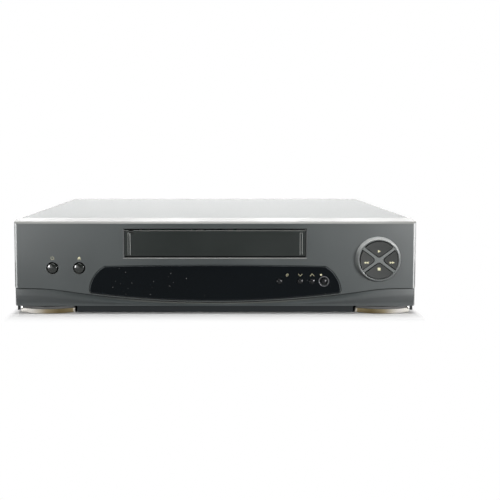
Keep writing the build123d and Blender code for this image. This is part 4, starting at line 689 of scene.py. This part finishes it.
# ---- Operators -------------------------------------------------------------------------------


class RECORDER_OT_case(bpy.types.Operator):
    """Finishes of the cover, chassis, rear panel, feet and screws"""

    bl_idname = "recorder.case"
    bl_label = "Case"

    def execute(self, context):
        colours = context.scene.recorder_colours
        dress(painted_metal("Cover paint", tuple(colours.cover)), "top_cover")
        dress(sheet_metal("Plated sheet", (0.5, 0.5, 0.48)), "bottom_chassis", "rear_panel")
        dress(rubber("Foot rubber"), "front_feet", "rear_feet")
        trim = plated_metal("Foot trim", tuple(colours.foot_trim), 0.16)
        self.tint_trim(trim, tuple(colours.foot_trim))
        dress(trim, "foot_trims")
        dress(plated_metal("Screw steel", (0.3, 0.3, 0.31), 0.3), "casing_screws", "deck_screws")
        return {"FINISHED"}

    def tint_trim(self, material, base):
        """Paints reflections into the gold along each trim: bright and pale at both ends, deep gold
        and darkest a little way in from the inner end.
        """
        tree = material.node_tree
        aside = combined(tree, "ABSOLUTE", axes(tree, "Object")["X"])
        inner_end, outer_end = 151.5 * MM, 211 * MM
        ramp = node(tree, "ShaderNodeValToRGB", i0=stepped(tree, aside, inner_end, outer_end))
        # Each stop's place along the trim, and how bright the painted reflection makes the metal
        # there.
        stops = ((0.0, 1.35), (0.05, 0.3), (0.28, 0.2), (0.5, 0.4), (0.75, 0.85), (1.0, 1.5))
        elements = ramp.color_ramp.elements
        while len(elements) < len(stops):
            elements.new(0.5)
        for element, (position, factor) in zip(elements, stops):
            element.position = position
            # The brighter the painted reflection, the paler the colour, as a highlight washes out
            # the gold.
            pale = min(0.85, max(0.0, factor - 0.2) * 1.3)
            tint = [min(1.0, factor * (c * (1 - pale) + 0.65 * pale)) for c in base]
            element.color = (*tint, 1.0)
        plug(tree, tree.nodes["Principled BSDF"].inputs["Base Color"], ramp.outputs["Color"])


class RECORDER_OT_front(bpy.types.Operator):
    """Finishes of the front panel, window and cassette door"""

    bl_idname = "recorder.front"
    bl_label = "Front"

    def execute(self, context):
        colours = context.scene.recorder_colours
        panel = moulded_plastic("Panel plastic", tuple(colours.panel), 0.34)
        tree = panel.node_tree
        # Painted highlights: on the rounded upright edges just behind the front, and on surfaces
        # that face upwards.
        depth = axes(tree, "Object")["Y"]
        corner = stepped(tree, depth, panel_front + 1.7 * MM, panel_front + 0.8 * MM)
        painted_end_highlight, painted_top_highlight = (0.21, 0.215, 0.215), (0.062, 0.062, 0.056)
        pick_out(panel, painted_end_highlight, corner, 0.03, 0.3, sideways=1.0)
        pick_out(panel, painted_top_highlight, start=0.4, end=0.75, upwards=1.0)
        shade_panel(panel)
        dress(panel, "front_panel")
        acrylic = glossy_plastic(
            "Window acrylic",
            tuple(colours.window),
            0.1,
            dust=0.4,
            mirror=0.07,
            coat=0.0,
            specks=170.0,
        )
        # Painted highlight on the window's edges where they turn away from the front.
        painted_edge_highlight = (0.04, 0.044, 0.045)
        pick_out(acrylic, painted_edge_highlight, None, 0.1, 0.4, sideways=1.0, upwards=0.5, downwards=0.3)
        dress(acrylic, "display_window")
        door = moulded_plastic("Door plastic", tuple(colours.door), 0.4, mirror=0.2)
        # Painted highlight on the door's edges and ridges that turn sideways or upwards.
        painted_door_highlight = (0.15, 0.155, 0.15)
        pick_out(door, painted_door_highlight, sideways=1.0, upwards=0.5)
        dress(door, "cassette_door")
        soften("cassette_door", 0.5 * MM)
        dress(sheet_metal("Blackened wire", (0.05, 0.05, 0.05)), "door_spring")
        return {"FINISHED"}


class RECORDER_OT_controls(bpy.types.Operator):
    """Finishes of the keys, the keypad's bezel and the record ring"""

    bl_idname = "recorder.controls"
    bl_label = "Controls"

    def execute(self, context):
        colours = context.scene.recorder_colours
        face = {"roughness": 0.17, "mirror": 0.42, "radius": 5.3 * MM, "rise": 0.9 * MM}
        for name in ROUND_KEYS:
            self.dress_cap(name, tuple(colours.keys), **face)
        pad = moulded_plastic("Key plastic", tuple(colours.keys), 0.36, mirror=0.3)
        # Painted shade: the keys' walls that turn away from the front are black.
        pick_out(pad, BLACK, None, 0.55, 0.8, **ALL_WAYS)
        dress(pad, *TRANSPORT_KEYS)
        face = {"roughness": 0.2, "mirror": 0.25, "radius": 2.6 * MM, "rise": 0.5 * MM}
        for name in SMALL_KEYS:
            self.dress_cap(name, tuple(colours.small_keys), **face)
        ring = moulded_plastic("Bezel plastic", tuple(colours.bezel), 0.34)
        tree = ring.node_tree
        # The ring's crest parts its inside, with painted shade on its turned walls, from its outer
        # cone, with a painted highlight on its upper and side parts and painted shadow under them.
        hub = tuple(middle("transport_bezel"))
        crest = group_node(tree, domed_cap, Centre=hub, Radius=21.4 * MM)
        outside = stepped(tree, crest["Height"], 0.0, -0.03)
        inside = stepped(tree, crest["Height"], -0.03, 0.0)
        pick_out(ring, shaded(BLACK, 2.0), inside, 0.3, 0.6, **ALL_WAYS)
        painted_cone_highlight, cone_shadow = (0.24, 0.245, 0.24), (0.01, 0.01, 0.01)
        pick_out(ring, painted_cone_highlight, outside, 0.15, 0.6, sideways=0.12, upwards=0.8)
        pick_out(ring, cone_shadow, outside, 0.15, 0.6, downwards=0.7)
        dress(ring, "transport_bezel")
        dress(plated_metal("Record ring", (0.1, 0.1, 0.105), 0.35), "record_ring")
        for name in (*TRANSPORT_KEYS, *ROUND_KEYS):
            soften(name, 0.4 * MM)
        soften("transport_bezel", 0.5 * MM)
        return {"FINISHED"}

    def dress_cap(self, name, colour, roughness, mirror, radius, rise):
        """A round key's finish, with its face shaded as a dome that is rise high."""
        title = name.replace("_", " ").capitalize()
        cap = moulded_plastic(f"{title} cap", colour, roughness, mirror=mirror)
        tree = cap.node_tree
        dome = group_node(tree, domed_cap, Centre=tuple(middle(name)), Radius=radius)
        bumped(tree, tree.nodes["Principled BSDF"], dome["Height"], 1.0, rise)
        dress(cap, name)


class RECORDER_OT_markings(bpy.types.Operator):
    """Printed symbols on the keypad, in the window and beside the round keys"""

    bl_idname = "recorder.markings"
    bl_label = "Markings"

    def execute(self, context):
        colours = context.scene.recorder_colours
        sizes = context.scene.recorder_markings
        ink = moulded_plastic(
            "Marking ink", tuple(colours.marking), 0.5, 2500.0, 0.00001, relief=0.1, dust=0.02
        )
        film, stroke = sizes.film, sizes.stroke
        # On the keypad: each symbol's place from the keypad's middle.
        hub = middle("transport_bezel")
        size = sizes.key_symbol
        pair = size * 0.9
        places = {
            "play": (0.0, 9.4),
            "stop": (0.0, -9.6),
            "rewind": (-13.8, -2.7),
            "forward": (13.7, -2.7),
        }
        for key, (aside, up) in places.items():
            x, z = hub.x + aside * MM, hub.z + up * MM
            halves = (x - pair / 2, x + pair / 2)
            shapes = {
                "play": [triangle(x, z, size, size)],
                "stop": [rectangle(x, z, size, size)],
                "rewind": [triangle(half, z, pair, size * 0.85, pi) for half in halves],
                "forward": [triangle(half, z, pair, size * 0.85) for half in halves],
            }[key]
            carrier, slot = f"{key}_key", "transport_key_plastic"
            film_mesh(f"{carrier}_symbol", shapes, film, carrier, carrier, ink)
        # Above the keys in the window.
        size = sizes.small_symbol
        window_rise = 6.9 * MM
        chevron = ((-0.8, -0.45), (0.0, 0.45), (0.8, -0.45))
        for key, sense in (("channel_down_button", -1), ("channel_up_button", 1)):
            key_spot = middle(key)
            z = key_spot.z + window_rise
            points = [(key_spot.x + size * a, z + sense * size * b) for a, b in chevron]
            outline = stroke_outline(points, stroke * 0.7)
            self.print_on("display_window", f"{key}_symbol", [outline], ink, film)
        key_spot = middle("record_button")
        x, z = key_spot.x - 3.2 * MM, key_spot.z + window_rise + 0.2 * MM
        dot = arc(x, z, 1.0 * MM, 0.0, 2 * pi)[:-1]
        self.print_on("display_window", "record_symbol", [dot], ink, film)
        key_spot = middle("timer_button")
        x, z = key_spot.x + 8.3 * MM, key_spot.z + window_rise
        dial = size * 0.46
        halves = (arc(x, z, dial, start, start + pi * 0.98) for start in (0.0, pi))
        rings = [stroke_outline(half, stroke * 0.6) for half in halves]
        hands = stroke_outline([(x, z + size * 0.34), (x, z), (x + size * 0.24, z)], stroke * 0.55)
        self.print_on("display_window", "timer_symbol", [*rings, hands], ink, film)
        # Above the round keys at the left.
        size = sizes.case_symbol
        case_rise = 10.7 * MM
        key_spot = middle("power_button")
        x, z = key_spot.x, key_spot.z + case_rise
        ring = stroke_outline(arc(x, z, size * 0.46, pi * 0.68, pi * 2.32), stroke * 0.6)
        bar = rectangle(x, z + size * 0.36, stroke * 0.6, size * 0.5)
        self.print_on("front_panel", "power_symbol", [ring, bar], ink, film)
        key_spot = middle("eject_button")
        x, z = key_spot.x, key_spot.z + case_rise
        shapes = [
            triangle(x, z + size * 0.16, size * 0.62, size * 1.05, pi / 2),
            rectangle(x, z - size * 0.4, size * 1.05, stroke * 0.7),
        ]
        self.print_on("front_panel", "eject_symbol", shapes, ink, film)
        return {"FINISHED"}

    def print_on(self, carrier, name, outlines, ink, film):
        """A symbol on a fixed node of the case."""
        film_mesh(name, outlines, film, carrier, ROOT, ink)


class RECORDER_OT_electronics(bpy.types.Operator):
    """Finishes of the boards, the display and the power supply"""

    bl_idname = "recorder.electronics"
    bl_label = "Electronics"

    def execute(self, context):
        board = circuit_board("Circuit board")
        dress(board, "front_board", "jack_board", "main_board", "power_board")
        dress(glossy_plastic("Display glass", (0.02, 0.035, 0.035), 0.05), "display_tube")
        dress(glossy_plastic("Sensor window", (0.02, 0.008, 0.012), 0.1), "remote_sensor")
        dress(moulded_plastic("Switch plastic", (0.02, 0.02, 0.02), 0.4), "tact_switches")
        dress(plated_metal("Tuner can", (0.6, 0.6, 0.57), 0.3), "tuner")
        dress(moulded_plastic("Ferrite", (0.06, 0.055, 0.05), 0.6, 600.0), "transformer")
        fins = sheet_metal("Heat sink aluminium", (0.62, 0.63, 0.64), 0.36, (1.0, 1.0, 0.04))
        dress(fins, "heat_sink")
        dress(glossy_plastic("Capacitor sleeve", (0.01, 0.012, 0.035), 0.2), "capacitors")
        return {"FINISHED"}


class RECORDER_OT_sockets(bpy.types.Operator):
    """Finishes of the sockets at the back"""

    bl_idname = "recorder.sockets"
    bl_label = "Sockets"

    def execute(self, context):
        moulded = moulded_plastic("Socket plastic", (0.014, 0.014, 0.015), 0.4)
        dress(moulded, "scart_sockets", "mains_inlet")
        plated = plated_metal("Plated connector", (0.62, 0.62, 0.6), 0.2)
        dress(plated, "aerial_sockets", "audio_sockets")
        return {"FINISHED"}


class RECORDER_OT_deck(bpy.types.Operator):
    """Finishes of the tape deck"""

    bl_idname = "recorder.deck"
    bl_label = "Deck"

    def execute(self, context):
        dress(
            sheet_metal("Deck sheet", (0.55, 0.55, 0.53), 0.36, (1.0, 0.04, 1.0)),
            "deck_plate",
            "lift_frames",
            "lift_slider",
            "cassette_holder",
            "pinch_arm",
            "idler_arm",
        )
        dress(
            moulded_plastic("White acetal", (0.72, 0.71, 0.67), 0.4),
            "supply_reel",
            "takeup_reel",
            "clutch",
            "loading_cam",
        )
        cast = sheet_metal("Cast aluminium", (0.5, 0.51, 0.52), 0.45, (1.0, 1.0, 1.0), 900.0, 0.3)
        dress(cast, "drum_base")
        dress(plated_metal("Polished drum", (0.7, 0.71, 0.72), 0.12), "head_drum", "tape_heads")
        ground = plated_metal("Ground steel", (0.55, 0.55, 0.55), 0.2)
        dress(ground, "capstan_flywheel", "guide_left", "guide_right")
        drive = rubber("Drive rubber", (0.018, 0.018, 0.018))
        dress(drive, "drive_belt", "idler_wheel", "pinch_roller")
        dress(sheet_metal("Motor can", (0.5, 0.5, 0.5), 0.3), "loading_motor")
        return {"FINISHED"}


class RECORDER_OT_stage(bpy.types.Operator):
    """Pale floor, soft lamps, world and camera"""

    bl_idname = "recorder.stage"
    bl_label = "Stage"

    def execute(self, context):
        scene = context.scene
        studio = scene.recorder_studio
        self.add_floor(scene, studio)
        self.add_world(scene, studio)
        # The keypad's keys stand out in front of the panel.
        key_reach = 5.5 * MM
        front = cad_box[0][1] + key_reach
        # Each lamp's name, place, what it faces, size and power.
        above, behind = studio.overhead_power, studio.back_power
        lamps = [
            ("Overhead lamp", (0.0, -0.25, 1.4), (0.0, -0.1, 0.05), (1.3, 0.85), above),
            ("Back lamp", (0.0, 1.4, 0.45), (0.0, -0.1, 0.1), (1.8, 0.3), behind),
        ]
        for hand, side, share in ((-1, "left", 0.78), (1, "right", 1.22)):
            end = (hand * 0.2, front, 0.06)
            place, power = (hand * 0.8, front - 1.45, 0.17), studio.front_power * share
            lamps.append((f"Front lamp {side}", place, end, (0.5, 0.25), power))
            place, power = (hand * 0.97, front - 0.93, 0.16), studio.side_power * share
            lamps.append((f"Side lamp {side}", place, end, (0.26, 0.5), power))
        for lamp in lamps:
            self.add_lamp(scene, *lamp)
        camera = bpy.data.objects.new("Camera", bpy.data.cameras.new("Camera"))
        scene.collection.objects.link(camera)
        camera.data.lens = studio.lens
        camera.data.shift_x = studio.shift_x
        camera.data.shift_y = studio.shift_y
        camera.data.clip_start = 0.01
        camera.location = (0.0, front - studio.distance, studio.height)
        camera.rotation_euler = (pi / 2 - studio.tilt, 0.0, 0.0)
        scene.camera = camera
        scene.view_settings.view_transform = "Standard"
        return {"FINISHED"}

    def add_floor(self, scene, studio):
        """A pale floor that fades into the white background away from the object."""
        mesh = bpy.data.meshes.new("Floor")
        shape = bmesh.new()
        bmesh.ops.create_grid(shape, x_segments=1, y_segments=1, size=6.0)
        shape.to_mesh(mesh)
        shape.free()
        floor = bpy.data.objects.new("Floor", mesh)
        scene.collection.objects.link(floor)
        material, tree, shader = new_material("Floor")
        # A painted shadow: dark under the chassis, and pale outside it.
        low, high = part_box("bottom_chassis")
        away = vectors(tree, "ABSOLUTE", spot(tree))
        inset = vectors(tree, "SUBTRACT", away, (high[0], -low[1], 0.0))
        sides = node(tree, "ShaderNodeSeparateXYZ", i0=inset).outputs
        outside = combined(tree, "MAXIMUM", sides["X"], sides["Y"])
        open_floor = stepped(tree, outside, -4 * MM, 2 * MM)
        dark, pale = (0.05, 0.05, 0.05), (0.46, 0.46, 0.46)
        plug(tree, shader.inputs["Base Color"], mixed(tree, open_floor, dark, pale))
        shader.inputs["Roughness"].default_value = 0.9
        shader.inputs["Specular IOR Level"].default_value = 0.1
        # The way beyond the object's box, four times as quick at its ends as in front.
        half = [max(abs(least), abs(most)) for least, most in zip(*cad_box)]
        beyond = vectors(tree, "SUBTRACT", away, (half[0], half[1], 0.0))
        beyond = vectors(tree, "MULTIPLY", vectors(tree, "MAXIMUM", beyond), (4.0, 1.0, 1.0))
        far = stepped(tree, vectors(tree, "LENGTH", beyond), 0.0, studio.fade)
        # Seen in reflections, the floor glows though it is no lamp: further out it is graded from
        # its middle to its sides, to brighten the reflections on the panel's ends.
        across = axes(tree, "Object")
        near_level, side_level = 0.9, 3.2
        aside = combined(tree, "ABSOLUTE", across["X"])
        graded = stepped(tree, aside, 0.1, 0.42, 0.0, side_level)
        ahead = stepped(tree, across["Y"], -0.38, -0.72)
        path = node(tree, "ShaderNodeLightPath").outputs
        mirrored = levelled(tree, ahead, near_level, graded)
        level = levelled(tree, path["Is Glossy Ray"], 1.0, mirrored)
        glow = node(tree, "ShaderNodeEmission", Color=WHITE, Strength=level)
        seen = combined(tree, "MAXIMUM", path["Is Camera Ray"], path["Is Glossy Ray"])
        lit, white = shader.outputs[0], glow.outputs[0]
        blend = node(tree, "ShaderNodeMixShader", i0=product(tree, far, seen), i1=lit, i2=white)
        plug(tree, tree.nodes["Material Output"].inputs["Surface"], blend.outputs[0])
        mesh.materials.append(material)

    def add_world(self, scene, studio):
        """White where it is seen, white to dim from the back to the front where it is mirrored."""
        world = bpy.data.worlds.new("Studio")
        world.use_nodes = True
        scene.world = world
        tree = world.node_tree
        path = node(tree, "ShaderNodeLightPath").outputs
        seen = combined(tree, "MAXIMUM", path["Is Camera Ray"], path["Is Transmission Ray"])
        room = stepped(tree, axes(tree, "Generated")["Y"], -0.3, 0.5, studio.mirrored, 1.0)
        lit = levelled(tree, path["Is Glossy Ray"], studio.ambient, room)
        background = tree.nodes["Background"].inputs
        plug(tree, background["Color"], WHITE)
        plug(tree, background["Strength"], levelled(tree, seen, lit, 1.0))

    def add_lamp(self, scene, name, place, target, size, power):
        """A rectangular area lamp that faces target."""
        data = bpy.data.lights.new(name, "AREA")
        data.shape = "RECTANGLE"
        data.size, data.size_y = size
        data.energy = power
        lamp = bpy.data.objects.new(name, data)
        lamp.location = place
        lamp.visible_camera = False
        lamp.rotation_euler = (Vector(target) - Vector(place)).to_track_quat("-Z", "Y").to_euler()
        scene.collection.objects.link(lamp)


class RECORDER_PT_sidebar(bpy.types.Panel):
    """The recorder's steps and settings"""

    bl_label = "Recorder"
    bl_idname = "RECORDER_PT_sidebar"
    bl_space_type = "VIEW_3D"
    bl_region_type = "UI"
    bl_category = "Recorder"

    def draw(self, context):
        layout = self.layout
        scene = context.scene
        for operator in OPERATORS:
            layout.operator(operator.bl_idname)
        for group in (scene.recorder_colours, scene.recorder_markings, scene.recorder_studio):
            for key in group.__annotations__:
                layout.prop(group, key)


OPERATORS = (
    RECORDER_OT_stage,
    RECORDER_OT_case,
    RECORDER_OT_front,
    RECORDER_OT_controls,
    RECORDER_OT_markings,
    RECORDER_OT_electronics,
    RECORDER_OT_sockets,
    RECORDER_OT_deck,
)
CLASSES = (CaseColours, MarkingSizes, StudioSettings, *OPERATORS, RECORDER_PT_sidebar)


def register():
    for cls in CLASSES:
        bpy.utils.register_class(cls)
    bpy.types.Scene.recorder_colours = PointerProperty(type=CaseColours)
    bpy.types.Scene.recorder_markings = PointerProperty(type=MarkingSizes)
    bpy.types.Scene.recorder_studio = PointerProperty(type=StudioSettings)


def unregister():
    del bpy.types.Scene.recorder_studio
    del bpy.types.Scene.recorder_markings
    del bpy.types.Scene.recorder_colours
    for cls in reversed(CLASSES):
        bpy.utils.unregister_class(cls)


def main():
    register()
    for operator in OPERATORS:
        group, step = operator.bl_idname.split(".")
        getattr(getattr(bpy.ops, group), step)()


if __name__ == "__main__":
    main()
